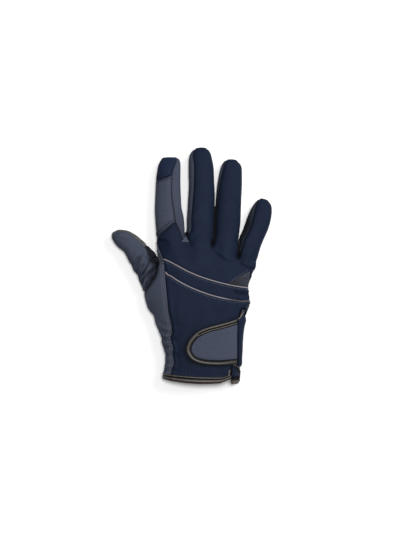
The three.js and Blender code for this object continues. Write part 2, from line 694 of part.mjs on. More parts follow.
// The skin's upper surface under a point, from the quads of the back of the hand
function backHeight(x, y) {
  let height = 0;
  for (const { corners } of quads) {
    const [a, b, c, d] = corners.map((corner) => points[corner]);
    for (const [p, q, r] of [[a, b, c], [a, c, d]]) {
      const area = (q.x - p.x) * (r.y - p.y) - (q.y - p.y) * (r.x - p.x);
      if (area < 1e-6) continue;
      const u = ((q.x - x) * (r.y - y) - (q.y - y) * (r.x - x)) / area;
      const v = ((r.x - x) * (p.y - y) - (r.y - y) * (p.x - x)) / area;
      if (u < -1e-6 || v < -1e-6 || u + v > 1 + 1e-6) continue;
      height = Math.max(height, u * p.z + v * q.z + (1 - u - v) * r.z);
    }
  }
  return height;
}

// The strap in plan, drawn in from its edge by a distance
const strapPoint = ({ along, across }) =>
  new THREE.Vector2(STRAP_ROOT.x - along * STRAP_LENGTH, STRAP_ROOT.yLow + across * STRAP_WIDTH);
const strapEdge = STRAP_OUTLINE.map(strapPoint);
function strapInset(distance) {
  return strapEdge.map((point, step) => {
    const before = strapEdge[Math.max(0, step - 1)];
    const after = strapEdge[Math.min(strapEdge.length - 1, step + 1)];
    const run = new THREE.Vector2().subVectors(after, before).normalize();
    const inward = new THREE.Vector2(-run.y, run.x);
    const atRoot = step === 0 || step === strapEdge.length - 1;
    if (atRoot) return new THREE.Vector2(point.x, point.y + distance * Math.sign(inward.y));
    return point.clone().addScaledVector(inward, distance);
  });
}

// The skin's height under a layer. Beyond bridgeX a stiff layer no longer follows the skin's fall.
const SLOPE_STEP = 1.2;
const BRIDGE_FALL = 0.5;
function seatHeight(x, y, bridgeX) {
  const bridge = backHeight(Math.min(x, bridgeX), y) - BRIDGE_FALL * Math.max(0, x - bridgeX);
  return Math.max(backHeight(x, y), bridge);
}

// A layer that lies over the skin between two lines of plan points, joined by rungs
function layerSolid(lines, lift, thick, bridgeX = Infinity) {
  const ids = lines.map((line, row) => line.map((_, step) => row * line.length + step));
  const flat = lines.flat();
  const seats = flat.map(({ x, y }) => {
    const height = seatHeight(x, y, bridgeX);
    const slopeX = (seatHeight(x - SLOPE_STEP, y, bridgeX) - height) / SLOPE_STEP;
    const slopeY = (seatHeight(x, y - SLOPE_STEP, bridgeX) - height) / SLOPE_STEP;
    return { x, y, height, stretch: Math.min(1.5, Math.hypot(1, slopeX, slopeY)) };
  });
  const sheet = [];
  for (let row = 0; row < lines.length - 1; row++)
    for (let step = 0; step < lines[row].length - 1; step++)
      sheet.push([ids[row][step], ids[row][step + 1], ids[row + 1][step + 1], ids[row + 1][step]]);
  const at = (up) => (id) => {
    const { x, y, height, stretch } = seats[id];
    return new THREE.Vector3(x, y, height + (lift + up) * stretch);
  };
  return sheetSolid(sheet, at(thick), at(0));
}

const between = (a, b, t) => a.map((point, step) => new THREE.Vector2().lerpVectors(point, b[step], t));

function strapBinding() {
  const lines = [strapEdge, strapInset(STRAP_BINDING_WIDTH)];
  return layerSolid(lines, STRAP_LIFT, STRAP_BINDING_THICK, STRAP_BRIDGE_X);
}

// The strap's field is laid out in ladders from its upper to its lower edge.
function strapField() {
  const edge = strapInset(STRAP_BINDING_WIDTH + SEAM_GAP);
  const half = edge.length / 2;
  const upper = edge.slice(0, half);
  const lower = edge.slice(half).reverse();
  const lines = [0, 0.25, 0.5, 0.75, 1].map((t) => between(upper, lower, t));
  return layerSolid(lines, STRAP_LIFT, STRAP_THICK, STRAP_BRIDGE_X);
}

// The navy strip that covers the strap's root, wrapped round the little finger's side
const ANCHOR_ROWS = [7, 13];
const ANCHOR_STEPS = [0, 0.3, 0.6, 0.85, 1];
const ANCHOR_LOW_DEG = -12;
function anchorSolid() {
  const lines = [];
  for (let index = ANCHOR_ROWS[0]; index <= ANCHOR_ROWS[1]; index++) {
    const row = handRow(index);
    const reach = (row.right[0] - row.left[0]) / 2;
    const startShare = (STRAP_ROOT.x + ANCHOR_GAP - (row.left[0] + row.right[0]) / 2) / reach;
    const start = THREE.MathUtils.radToDeg(Math.acos(startShare ** (PALM_SQUARE / 2)));
    lines.push(
      ANCHOR_STEPS.map((t) => {
        const angle = mix(start, ANCHOR_LOW_DEG, t);
        const point = sectionPoint(row.left, row.right, row.z, row.half, PALM_SQUARE, angle);
        const near = sectionPoint(row.left, row.right, row.z, row.half, PALM_SQUARE, angle + 2);
        const out = new THREE.Vector3(near.z - point.z, 0, point.x - near.x).normalize();
        point.y = row.right[1];
        return { point, out };
      }),
    );
  }
  const flat = lines.flat();
  const wide = ANCHOR_STEPS.length;
  const sheet = [];
  for (let row = 0; row < lines.length - 1; row++)
    for (let step = 0; step < wide - 1; step++) {
      const corner = row * wide + step;
      sheet.push([corner, corner + wide, corner + wide + 1, corner + 1]);
    }
  const lift = BINDING_RAISE + ANCHOR_LIFT;
  const at = (up) => (id) => flat[id].point.clone().addScaledVector(flat[id].out, lift + up);
  return sheetSolid(sheet, at(ANCHOR_THICK), at(0));
}

// The satin insert above the upper piping, a triangle that widens to the little finger's side
function insertSolid() {
  const row = handRow(PIPING_ROWS[0]);
  const right = row.right[0] - INSERT_EDGE;
  const lines = [0, 0.5, 1].map((t) =>
    [0, 0.25, 0.5, 0.75, 1].map((step) => {
      const x = right - INSERT_LENGTH * (1 - step);
      const foot = rowHeightAt(row, x, row.bow) + PIPING_RADIUS + 1.2;
      const top = mix(1.2, INSERT_HEIGHT, step);
      return new THREE.Vector2(x - 2.2 * t * step, foot + t * top);
    }),
  );
  return layerSolid(lines, TRIM_LIFT, INSERT_THICK);
}

const cloth = (color, roughness = 0.85) => new THREE.MeshStandardMaterial({ color, roughness, metalness: 0 });
const navy = cloth(0x1d2636);
const band = cloth(0x1c2840);
const suede = cloth(0x474c5c);
const pipingGrey = cloth(0x9a8f92, 0.6);
const bindingGrey = cloth(0x4b4843, 0.55);
const satin = cloth(0x5b5e68, 0.35);

const glove = new THREE.Group();
function add(name, geometry, material) {
  const mesh = new THREE.Mesh(geometry, material);
  mesh.name = name;
  glove.add(mesh);
}

for (const name of ["back_finger_panel", "back_wrist_panel", "side_panel", "thumb_gusset", "index_tip"])
  add(name, panelSolid(name, WALL, 0), navy);
add("back_band", panelSolid("back_band", WALL, 0), band);
for (const name of ["palm_panel", "index_patch", "thumb_back", "thumb_front", ...FORK_NAMES])
  add(name, panelSolid(name, WALL, 0), suede);
add("cuff_binding", panelSolid("cuff_binding", BINDING_WALL, BINDING_RAISE), bindingGrey);
add("piping_upper", cordSolid(pipingLines[0], PIPING_RADIUS, 0), pipingGrey);
add("piping_lower", cordSolid(pipingLines[1], PIPING_RADIUS, 0), pipingGrey);
add("thumb_welt", cordSolid(weltLine, WELT_RADIUS, 0), bindingGrey);
add("strap_binding", strapBinding(), bindingGrey);
add("strap_field", strapField(), suede);
add("strap_anchor", anchorSolid(), navy);
add("side_insert", insertSolid(), satin);

export default glove;
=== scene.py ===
# A riding glove for the right hand, lying on its palm on a pale floor, seen from straight above.
# Lengths are in millimetres until a mesh is made. +Z is up through the back of the hand,
# +Y runs to the fingertips and +X to the little finger.
import json
import math

import bpy
import numpy as np
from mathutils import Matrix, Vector
from mathutils.bvhtree import BVHTree
from mathutils.kdtree import KDTree

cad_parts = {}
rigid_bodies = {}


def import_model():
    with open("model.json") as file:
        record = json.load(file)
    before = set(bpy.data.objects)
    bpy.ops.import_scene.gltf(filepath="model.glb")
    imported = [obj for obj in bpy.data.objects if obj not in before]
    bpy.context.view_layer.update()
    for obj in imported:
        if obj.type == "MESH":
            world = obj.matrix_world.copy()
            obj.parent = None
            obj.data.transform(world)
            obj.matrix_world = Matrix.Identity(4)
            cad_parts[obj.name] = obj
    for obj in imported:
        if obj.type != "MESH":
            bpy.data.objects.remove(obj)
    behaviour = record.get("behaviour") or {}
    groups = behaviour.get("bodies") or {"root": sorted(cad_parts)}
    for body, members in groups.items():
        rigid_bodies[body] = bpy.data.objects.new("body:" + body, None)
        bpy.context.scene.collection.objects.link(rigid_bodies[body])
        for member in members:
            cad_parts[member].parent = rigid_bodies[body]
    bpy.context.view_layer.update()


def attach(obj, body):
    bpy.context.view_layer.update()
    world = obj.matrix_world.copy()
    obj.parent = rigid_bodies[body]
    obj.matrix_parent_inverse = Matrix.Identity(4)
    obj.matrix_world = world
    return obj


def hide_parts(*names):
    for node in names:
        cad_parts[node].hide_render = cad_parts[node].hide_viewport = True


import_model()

MM = 0.001

# ---------------------------------------------------------------- sizes of the hand and its trim
REACH = 59.0  # from the frame's origin up to the knuckles
DROP = 83.5  # from the origin down to the cuff
WRIST_WIDTH = 77.0
PALM_THICK = 22.5
THUMB_SEAM_SPREAD = 42.0  # the thumb's opening, along the hand
WEB_DEPTH = 3.2  # how far the back sinks between two fingers
WALL = 1.3
PALM_SQUARE = 2.5  # 2 is an oval cross-section, and more is squarer
FINGER_SQUARE = 2.3
PALM_SEAM_DEG = 42.0  # how far round a finger the palm's seams lie
STRAP_ROOT_INSET = 1.6
STRAP_BRIDGE = 6.9  # the strap's last stretch, which bridges the vent
STRAP_LOW = -0.786  # the strap's lower edge, as a share of DROP
STRAP_LENGTH = 50.0
STRAP_WIDTH = 46.0
STRAP_LIFT = 1.3


def mix(a, b, t):
    return a + (b - a) * t


def ramp(value, start, end):
    """0 up to the start and 1 from the end on. The end may be the lower of the two."""
    return np.clip((value - start) / (end - start), 0, 1)


def bell(distance, spread, power=2):
    """1 at no distance, and next to nothing well beyond the spread."""
    return np.exp(-((distance / spread) ** power))


def signed_power(value, exponent):
    """The power of a size, with the value's own sign."""
    return math.copysign(abs(value) ** exponent, value)


def table(columns, *rows):
    """Rows of values under named columns."""
    names = columns.split()
    return [dict(zip(names, row)) for row in rows]


# Each finger's sleeve: its length, width and thickness, its lean in degrees, its slot among the
# knuckles in widths of its own, and its foot: a share of the slot, and of REACH.
FINGERS = table(
    "name length width thick lean slot foot footY",
    ["index", 83.6, 25.4, 15.6, 0, 1.07, 0.43, 1.0],
    ["middle", 96.0, 25.6, 15.8, 0, 1.113, 0.58, 0.958],
    ["ring", 90.8, 24.6, 15.4, 2.5, 1.057, 0.56, 0.847],
    ["little", 61.0, 22.4, 14.6, 15, 0.795, 0.56, 0.712],
)
THUMB = {"length": 57.0, "width": 22.0, "thick": 16.6, "lean": -42.0}

# Across each sleeve, from foot to tip: how far along it the section's left and right ends lie, how far
# out in half widths, the thickness, and the angles at which the back's two seams lie.
SECTION_COLUMNS = "alongL outL alongR outR thick seamL seamR"
SECTIONS = {
    "index": table(
        SECTION_COLUMNS,
        [0.01, -0.95, 0.15, 1.24, 1.04, 186, 53],
        [0.04, -0.94, 0.29, 1.16, 1.04, 186, 69],
        [0.18, -1.02, 0.39, 1.02, 1.03, 186, 68],
        [0.35, -1.08, 0.51, 0.97, 1.0, 186, 73],
        [0.51, -1.06, 0.63, 0.93, 0.98, 186, 75],
        [0.71, -1.0, 0.81, 0.93, 0.94, 186, 74],
        [0.82, -0.92, 0.89, 0.92, 0.87, 186, 64],
        [0.91, -0.8, 0.95, 0.88, 0.72, 186, 48],
        [0.98, -0.55, 0.99, 0.7, 0.48, 186, 26],
    ),
    "middle": table(
        SECTION_COLUMNS,
        [0.13, -1.07, 0.11, 0.98, 1.03, 133, 8],
        [0.23, -1.04, 0.22, 1.02, 1.02, 133, 8],
        [0.35, -0.99, 0.35, 1.07, 1.01, 132, 8],
        [0.46, -0.95, 0.46, 1.11, 1.0, 130, 8],
        [0.58, -0.9, 0.58, 1.08, 0.98, 127, 8],
        [0.69, -0.91, 0.69, 1.05, 0.95, 124, 8],
        [0.8, -0.91, 0.8, 1.01, 0.88, 123, 8],
        [0.88, -0.89, 0.88, 0.9, 0.76, 130, 8],
        [0.94, -0.74, 0.94, 0.77, 0.6, 144, 8],
        [0.98, -0.48, 0.98, 0.54, 0.4, 158, 8],
    ),
    "ring": table(
        SECTION_COLUMNS,
        [0.17, -1.12, 0.13, 0.89, 1.03, 150, 8],
        [0.3, -1.12, 0.28, 0.98, 1.02, 151, 8],
        [0.43, -1.1, 0.42, 0.99, 1.0, 151, 8],
        [0.55, -1.07, 0.55, 0.98, 0.99, 151, 8],
        [0.67, -1.02, 0.68, 0.99, 0.96, 149, 8],
        [0.78, -0.94, 0.78, 0.97, 0.9, 146, 8],
        [0.88, -0.81, 0.87, 0.95, 0.78, 143, 8],
        [0.95, -0.62, 0.93, 0.87, 0.62, 150, 8],
        [0.985, -0.38, 0.97, 0.64, 0.42, 160, 8],
    ),
    "little": table(
        SECTION_COLUMNS,
        [0.22, -1.21, 0.15, 0.78, 1.05, 122, 8],
        [0.31, -1.19, 0.3, 0.86, 1.03, 120, 8],
        [0.43, -1.08, 0.44, 0.98, 1.0, 117, 8],
        [0.58, -1.03, 0.57, 1.06, 0.96, 118, 8],
        [0.72, -0.94, 0.73, 1.04, 0.88, 124, 8],
        [0.83, -0.79, 0.86, 0.9, 0.74, 136, 8],
        [0.91, -0.63, 0.94, 0.68, 0.58, 148, 8],
        [0.97, -0.42, 0.985, 0.36, 0.38, 160, 8],
    ),
}
THUMB_SECTIONS = table(
    "alongL outL alongR outR thick seamR",
    [-0.1, -1.9, 0.22, 1.15, 0.74, 60],
    [0.0, -1.69, 0.27, 1.14, 1.03, 56],
    [0.11, -1.58, 0.32, 1.12, 0.88, 53],
    [0.17, -1.38, 0.37, 1.11, 1.06, 48],
    [0.27, -1.34, 0.43, 1.1, 0.92, 38],
    [0.34, -1.16, 0.5, 1.07, 1.05, 32],
    [0.43, -1.08, 0.57, 1.02, 0.98, 32],
    [0.53, -0.98, 0.65, 0.97, 1.0, 33],
    [0.64, -0.94, 0.73, 0.87, 0.98, 33],
    [0.76, -0.96, 0.82, 0.7, 0.93, 32],
    [0.86, -0.92, 0.89, 0.44, 0.82, 30],
    [0.94, -0.81, 0.95, 0.12, 0.62, 26],
    [0.99, -0.64, 0.98, -0.12, 0.42, 22],
)
# Beside and between the fingers: how high the web lies on the back, at its crest and on the palm
WEBS = table(
    "back crest palm",
    [0.966, 0.966, 0.966],
    [1.0, 1.127, 1.06],
    [0.915, 1.05, 0.97],
    [0.729, 0.94, 0.85],
    [0.644, 0.644, 0.644],
)
LEFT_OF_KNUCKLES = 0.434
# Across the hand, from the webs to the hem: the heights of a row's two ends as shares of REACH or DROP,
# its bow, its ends and the back's seams in half widths, its share of the wrist's width, and its
# thickness and level in halves of the palm's.
HAND = table(
    "yL yR bow xL xR seamL seamR wrist half rise",
    [0.966, 0.644, 0, -0.87, 1.14, -0.864, 1.132, 0, 0.88, 0.87],
    [0.9, 0.54, 0, -0.852, 1.1, -0.84, 1.085, 0, 0.92, 0.9],
    [0.8, 0.38, 0, -0.846, 1.018, -0.8, 0.997, 0, 0.96, 0.93],
    [0.712, 0.195, -4.9, -0.854, 0.961, -0.744, 0.945, 0, 0.99, 0.95],
    [0.542, -0.024, -7.8, -0.894, 1.0, -0.708, 0.975, 0, 1.01, 0.96],
    [0.373, -0.06, -8.6, -0.965, 0.997, -0.683, 0.953, 0, 1.02, 0.97],
    [0.186, -0.114, -9.2, -1.086, 0.975, -0.668, 0.92, 0.07, 1.03, 0.97],
    [0.0, -0.217, -8.9, -1.192, 0.945, -0.677, 0.885, 0.26, 1.03, 0.97],
    [-0.102, -0.319, -8.4, -1.165, 0.948, -0.684, 0.885, 0.5, 1.02, 0.96],
    [-0.205, -0.422, -7.8, -1.135, 0.98, -0.688, 0.9, 0.74, 0.99, 0.95],
    [-0.307, -0.524, -7.2, -1.105, 1.02, -0.719, 0.905, 0.93, 0.96, 0.94],
    [-0.41, -0.614, -6.6, -1.037, 1.034, -0.766, 0.888, 1, 0.94, 0.93],
    [-0.512, -0.699, -5.8, -0.998, 1.022, -0.7, 0.86, 1, 0.95, 0.93],
    [-0.614, -0.777, -4.9, -0.92, 1.02, -0.722, 0.84, 1, 0.92, 0.93],
    [-0.717, -0.843, -3.8, -0.912, 1.049, -0.683, 0.821, 1, 0.92, 0.93],
    [-0.815, -0.892, -2.6, -0.93, 1.039, -0.742, 0.805, 1, 0.9, 0.93],
    [-0.884, -0.92, -1.9, -0.951, 1.034, -0.753, 0.803, 1, 0.9, 0.93],
    [-0.951, -0.965, -3.8, -0.951, 1.01, -0.753, 0.78, 1, 0.91, 0.93],
)
PIPING_ROWS = [3, 4]
VENT_TOP = 6
HEM_ROW = len(HAND) - 2
THUMB_ROWS = [3, 7]
# The thumb's opening, from its crotch down: places on its upper and its lower edge
THUMB_SEAM = table(
    "upperX upperU upperZ lowerX lowerU lowerZ",
    [-0.5, 0.0, 0.42, 5.5, 0.1, 0.12],
    [1.4, 0.2, 0.65, 14.0, 0.28, 0.03],
    [3.4, 0.42, 0.72, 19.0, 0.52, 0.0],
    [3.0, 0.63, 0.65, 20.0, 0.78, 0.0],
    [0.0, 0.84, 0.46, 13.0, 1.02, 0.03],
)
THUMB_CROTCH_Y = 0.72
# Round the strap from its upper root: shares of its length and of its width
STRAP_OUTLINE = [
    (0.0, 1.0), (0.11, 0.96), (0.33, 0.895), (0.55, 0.835), (0.72, 0.765), (0.84, 0.685), (0.93, 0.58),
    (0.99, 0.46), (1.01, 0.34), (0.975, 0.225), (0.9, 0.125), (0.79, 0.065), (0.62, 0.025), (0.35, 0.01),
    (0.15, 0.025), (0.0, 0.035),
]
STRAP_ROOT_X = WRIST_WIDTH / 2 - STRAP_ROOT_INSET
STRAP_ROOT_Y = STRAP_LOW * DROP
STRAP_BRIDGE_X = STRAP_ROOT_X - STRAP_BRIDGE


def slot_of(finger):
    """The width that a finger takes up among the knuckles."""
    return finger["width"] * finger["slot"]


KNUCKLE_WIDTH = sum(slot_of(finger) for finger in FINGERS)
web_x = [-LEFT_OF_KNUCKLES * KNUCKLE_WIDTH]
for finger in FINGERS:
    web_x.append(web_x[-1] + slot_of(finger))


def height_of(share):
    """The height above the frame's origin of a share of the hand's reach, or of its drop."""
    return share * (REACH if share > 0 else DROP)


def section_point(left, right, z, half, square, degrees):
    """A point on a rounded cross-section: 0 degrees is at its right end and 90 at its top."""
    turn = math.radians(degrees)
    t = (1 + signed_power(math.cos(turn), 2 / square)) / 2
    up = signed_power(math.sin(turn), 2 / square)
    return np.array([mix(left[0], right[0], t), mix(left[1], right[1], t), max(0.0, z + half * up)])


# ---------------------------------------------------------------- the skin's cage of quads
# The hand is a tube with 36 columns: 0 to 16 across the back, 17 on the little finger's side,
# 18 to 34 back across the palm and 35 on the thumb's side.
COLUMNS = 36
BACK = 16
cage = []
quads = []


def add_point(point):
    cage.append(np.array(point, dtype=float))
    return len(cage) - 1


def add_quad(panel, part, corners, places):
    """A quad of a panel, with each corner's row and column on its part."""
    quads.append((panel, part, corners, places))


# How far across the back each column lies
column_share = []
for column in range(BACK + 1):
    finger = min(3, column // 4)
    x = mix(web_x[finger], web_x[finger + 1], column / 4 - finger)
    column_share.append((x - web_x[0]) / KNUCKLE_WIDTH)


def row_from(row):
    """A row of the hand's table in millimetres."""
    half = mix(KNUCKLE_WIDTH, WRIST_WIDTH, row["wrist"]) / 2
    return {
        "left": (row["xL"] * half, height_of(row["yL"])),
        "right": (row["xR"] * half, height_of(row["yR"])),
        "seamL": row["seamL"] * half,
        "seamR": row["seamR"] * half,
        "bow": row["bow"],
        "half": row["half"] * PALM_THICK / 2,
        "z": row["rise"] * PALM_THICK / 2,
    }


def hand_row(index):
    return row_from(HAND[index])


def middle_and_reach(row):
    """A row's middle and half its width."""
    left, right = row["left"][0], row["right"][0]
    return (left + right) / 2, (right - left) / 2


def surface_height(row, x, up):
    """The height of the hand's upper (1) or lower (-1) surface on a row."""
    middle, reach = middle_and_reach(row)
    off = min(1.0, abs(x - middle) / reach)
    return max(0.0, row["z"] + up * row["half"] * (1 - off**PALM_SQUARE) ** (1 / PALM_SQUARE))


def row_height_at(row, x, bow):
    """How far up the hand a bowed row lies at x."""
    t = (x - row["left"][0]) / (row["right"][0] - row["left"][0])
    return mix(row["left"][1], row["right"][1], t) + 4 * bow * t * (1 - t)


WEB_ROOM = {"side": 0.3, "back": 1.5, "palm": 3.0}  # how far the web keeps from the hand's sides
SIDE_DROP = 0.15  # the hand's sides lie a little below its middle


def web_row():
    """The first row of the hand, along the fingers' feet on the back and on the palm."""
    row = hand_row(0)

    def place(column, edge, up):
        finger = min(3, column // 4)
        t = column / 4 - finger
        x = mix(web_x[finger], web_x[finger + 1], t)
        y = REACH * mix(WEBS[finger][edge], WEBS[finger + 1][edge], t)
        at_side = column % BACK == 0
        dip = 0 if at_side else WEB_DEPTH * math.cos(math.pi * t) ** 2
        room = WEB_ROOM["palm" if edge == "palm" else "side" if at_side else "back"]
        inner = min(row["right"][0] - room, max(row["left"][0] + room, x))
        return [x, y, max(0.0, surface_height(row, inner, up) - up * dip)]

    side = row["z"] - SIDE_DROP * row["half"]
    line = [place(column, "back", 1) for column in range(BACK + 1)]
    line.append([row["right"][0], row["right"][1], side])
    line += [place(column, "palm", -1) for column in range(BACK, -1, -1)]
    line.append([row["left"][0], row["left"][1], side])
    return line


# How far out the palm's outermost columns lie, in half widths, and beside the vent
PALM_EDGE, PALM_EDGE_BESIDE = 0.87, 0.985
LEAST_LEG = 0.2  # a narrower strip beside the vent isn't made


def plain_row(index):
    """Any other row: across the back, round the side and back across the palm."""
    row = hand_row(index)
    beside = index > PIPING_ROWS[1]
    left, right = row["left"], row["right"]
    middle, reach = middle_and_reach(row)
    line = []
    for share in column_share:
        x = mix(row["seamL"], row["seamR"], share)
        line.append([x, row_height_at(row, x, row["bow"]), surface_height(row, x, 1)])
    leg = (1 - column_share[BACK - 1]) * (row["seamR"] - row["seamL"])
    leg_x = min(row["seamR"] + leg, right[0])
    if beside and leg_x < right[0] - LEAST_LEG:
        line.append([leg_x, row_height_at(row, leg_x, row["bow"]), surface_height(row, leg_x, 1)])
    else:
        line.append([right[0], right[1], row["z"]])
    start = PALM_EDGE_BESIDE if beside else PALM_EDGE
    for column in range(BACK, -1, -1):
        x = middle + reach * mix(-PALM_EDGE, start, column_share[column])
        line.append([x, row_height_at(row, x, 0), surface_height(row, x, -1)])
    line.append([left[0], left[1], row["z"]])
    return line


grid = [web_row() if index == 0 else plain_row(index) for index in range(len(HAND))]
# Two rows lie between the webs and the piping, at these shares of the way, and follow both.
for index, share in ((1, 0.28), (2, 0.62)):
    for column, point in enumerate(grid[index]):
        above = grid[0][column]
        below = grid[PIPING_ROWS[0]][column]
        point[1] = mix(above[1], below[1], share)
        if column < BACK or column > BACK + 2:
            point[0] = mix(point[0], mix(above[0], below[0], share), 0.5)
        dip = above[2] - surface_height(hand_row(0), above[0], 1 if column <= BACK else -1)
        if column % BACK != 0 and column <= BACK + 18:
            point[2] = max(0.0, point[2] + dip * (1 - share) ** 2)

SEAM_UPPER = COLUMNS - 1
SEAM_LOWER = COLUMNS - 3
SEAM_MIDDLE_SHARES = (0.35, 0.35, 0.55)  # how far below the upper edge the side of the opening lies
for step, edge in enumerate(THUMB_SEAM):
    line = grid[THUMB_ROWS[0] + step]
    row = hand_row(THUMB_ROWS[0] + step)
    for column, side in ((SEAM_UPPER, "upper"), (SEAM_LOWER, "lower")):
        line[column] = [
            row["left"][0] + edge[side + "X"],
            THUMB_CROTCH_Y * REACH - edge[side + "U"] * THUMB_SEAM_SPREAD,
            edge[side + "Z"] * PALM_THICK,
        ]
    upper, lower = line[SEAM_UPPER], line[SEAM_LOWER]
    line[SEAM_LOWER + 1] = [mix(*ends) for ends in zip(upper, lower, SEAM_MIDDLE_SHARES)]
    first_x = line[BACK + 2][0]
    for column in range(BACK + 3, SEAM_LOWER):
        t = (column - BACK - 2) / (SEAM_LOWER - BACK - 2)
        x = mix(first_x, lower[0], t)
        line[column] = [x, mix(row_height_at(row, x, 0), lower[1], t**3), surface_height(row, x, -1)]

# The hem's corner at the vent turns up on the back's side and hangs down on the flap's.
HEM_TURN_UP = {-3: (0.2, 0.6), -2: (0.8, 1.2), -1: (1.6, 2.0), 0: (3.0, 3.4)}
for step, rises in HEM_TURN_UP.items():
    for back_row, rise in zip((HEM_ROW, HEM_ROW + 1), rises):
        grid[back_row][BACK + step][1] += rise
FLAP_LOW = (-84.2, -83.8)
for step, low in enumerate(FLAP_LOW):
    grid[-1][BACK + 1 + step][1] = low

hand = [[add_point(point) for point in line] for line in grid]
# Below the vent's top the back's last column and the flap beside it part: the flap has points of its own.
TWIN_OUT = 2.0
twins = {}
for index in range(VENT_TOP + 1, len(HAND)):
    twin = list(grid[index][BACK])
    if index > HEM_ROW:
        twin[0] += TWIN_OUT
        twin[1] = -DROP
    elif index == HEM_ROW:
        twin[1] -= HEM_TURN_UP[0][0]
    twins[index] = add_point(twin)


def twin_of(index, column):
    if column == BACK and index in twins:
        return twins[index]
    return hand[index][column % COLUMNS]


def hand_panel(index, column):
    """The panel that a quad of the hand belongs to."""
    leg = column in (BACK - 1, BACK)
    if index == HEM_ROW:
        return "hem"
    if leg and index >= VENT_TOP - 1:
        return "vent_facing"
    if column < BACK or (column == BACK and index < VENT_TOP - 1):
        if index < PIPING_ROWS[0]:
            return "back_finger_panel"
        return "back_band" if index < PIPING_ROWS[1] else "back_wrist_panel"
    beside_vent = BACK < column < BACK + 4 and index >= VENT_TOP - 1
    return "side_panel" if beside_vent else "palm_panel"


for index in range(len(HAND) - 1):
    for column in range(COLUMNS):
        if THUMB_ROWS[0] <= index < THUMB_ROWS[1] and SEAM_LOWER <= column < SEAM_UPPER:
            continue
        following = (column + 1) % COLUMNS
        near, far = twin_of(index, column), twin_of(index + 1, column)
        add_quad(
            hand_panel(index, column),
            "hand",
            [far, hand[index + 1][following], hand[index][following], near],
            [(index + 1, column), (index + 1, column + 1), (index, column + 1), (index, column)],
        )

# Round a sleeve: sides 0 to 3 on its back, 4 and 5 on its right, 6 to 9 on its palm, 10 and 11 on its left
RING_SIDES = 12


def ring_angles(seam_l, seam_r):
    """Where the points of a sleeve's ring lie, in degrees, between its four seams."""
    palm_r, palm_l = -PALM_SEAM_DEG, PALM_SEAM_DEG - 180
    back = [mix(seam_l, seam_r, step / 4) for step in range(5)]
    palm = [mix(palm_r, palm_l, step / 4) for step in range(5)]
    return [*back, (seam_r + palm_r) / 2, *palm, (seam_l + palm_l + 360) / 2]


def add_tube(part, base, sections, place, panel_of):
    """A sleeve from its foot on the hand to its closed tip."""
    rings = [base]
    for section in sections:
        left = place(section["alongL"], section["outL"])
        right = place(section["alongR"], section["outR"])
        rings.append([
            add_point(section_point(left, right, section["z"], section["half"], FINGER_SQUARE, angle))
            for angle in ring_angles(section["seamL"], section["seamR"])
        ])
    for step in range(len(rings) - 1):
        ring, beyond = rings[step], rings[step + 1]
        for side in range(RING_SIDES):
            following = (side + 1) % RING_SIDES
            add_quad(
                panel_of(step, side),
                part,
                [ring[side], ring[following], beyond[following], beyond[side]],
                [(step, side), (step, side + 1), (step + 1, side + 1), (step + 1, side)],
            )
    last = rings[-1]
    tip_seam = [last[11]]
    for column in (1, 2, 3):
        sides = mix(cage[last[11]], cage[last[5]], column / 4)
        out = mix(sections[-1]["outL"], sections[-1]["outR"], column / 4)
        tip = place(1.0, out)
        bulge = 1 if column == 2 else 0.8
        middle = mix((cage[last[column]] + cage[last[10 - column]]) / 2, sides, 0.5)
        middle[:2] = mix(middle[:2], np.array(tip), bulge)
        tip_seam.append(add_point(middle))
    tip_seam.append(last[5])
    end = len(rings) - 1
    for column in range(4):
        near, far = column, column + 1
        above = [last[near], last[far], tip_seam[far], tip_seam[near]]
        below = [tip_seam[near], tip_seam[far], last[10 - far], last[10 - near]]
        spots = [(end, near), (end, far), (end + 1, far), (end + 1, near)]
        add_quad(panel_of(end, column), part + "_tip", above, spots)
        add_quad(panel_of(end, 9 - column), part + "_under_tip", below, spots)
    return rings


CREST_SIDE, CREST_LEVEL = 0.8, 0.95
crests = [
    add_point([web_x[web] + CREST_SIDE, REACH * WEBS[web]["crest"], hand_row(0)["z"] * CREST_LEVEL])
    for web in (1, 2, 3)
]
FORKS = ["fourchette_index_middle", "fourchette_middle_ring", "fourchette_ring_little"]
PATCH_SECTIONS = (2, 6)


def placer(foot_x, foot_y, finger):
    """A finger's own frame: places in plan from shares of its length and half width."""
    sine, cosine = math.sin(math.radians(finger["lean"])), math.cos(math.radians(finger["lean"]))

    def place(along, out):
        on, off = along * finger["length"], out * finger["width"] / 2
        return foot_x + on * sine + off * cosine, foot_y + on * cosine - off * sine

    return place


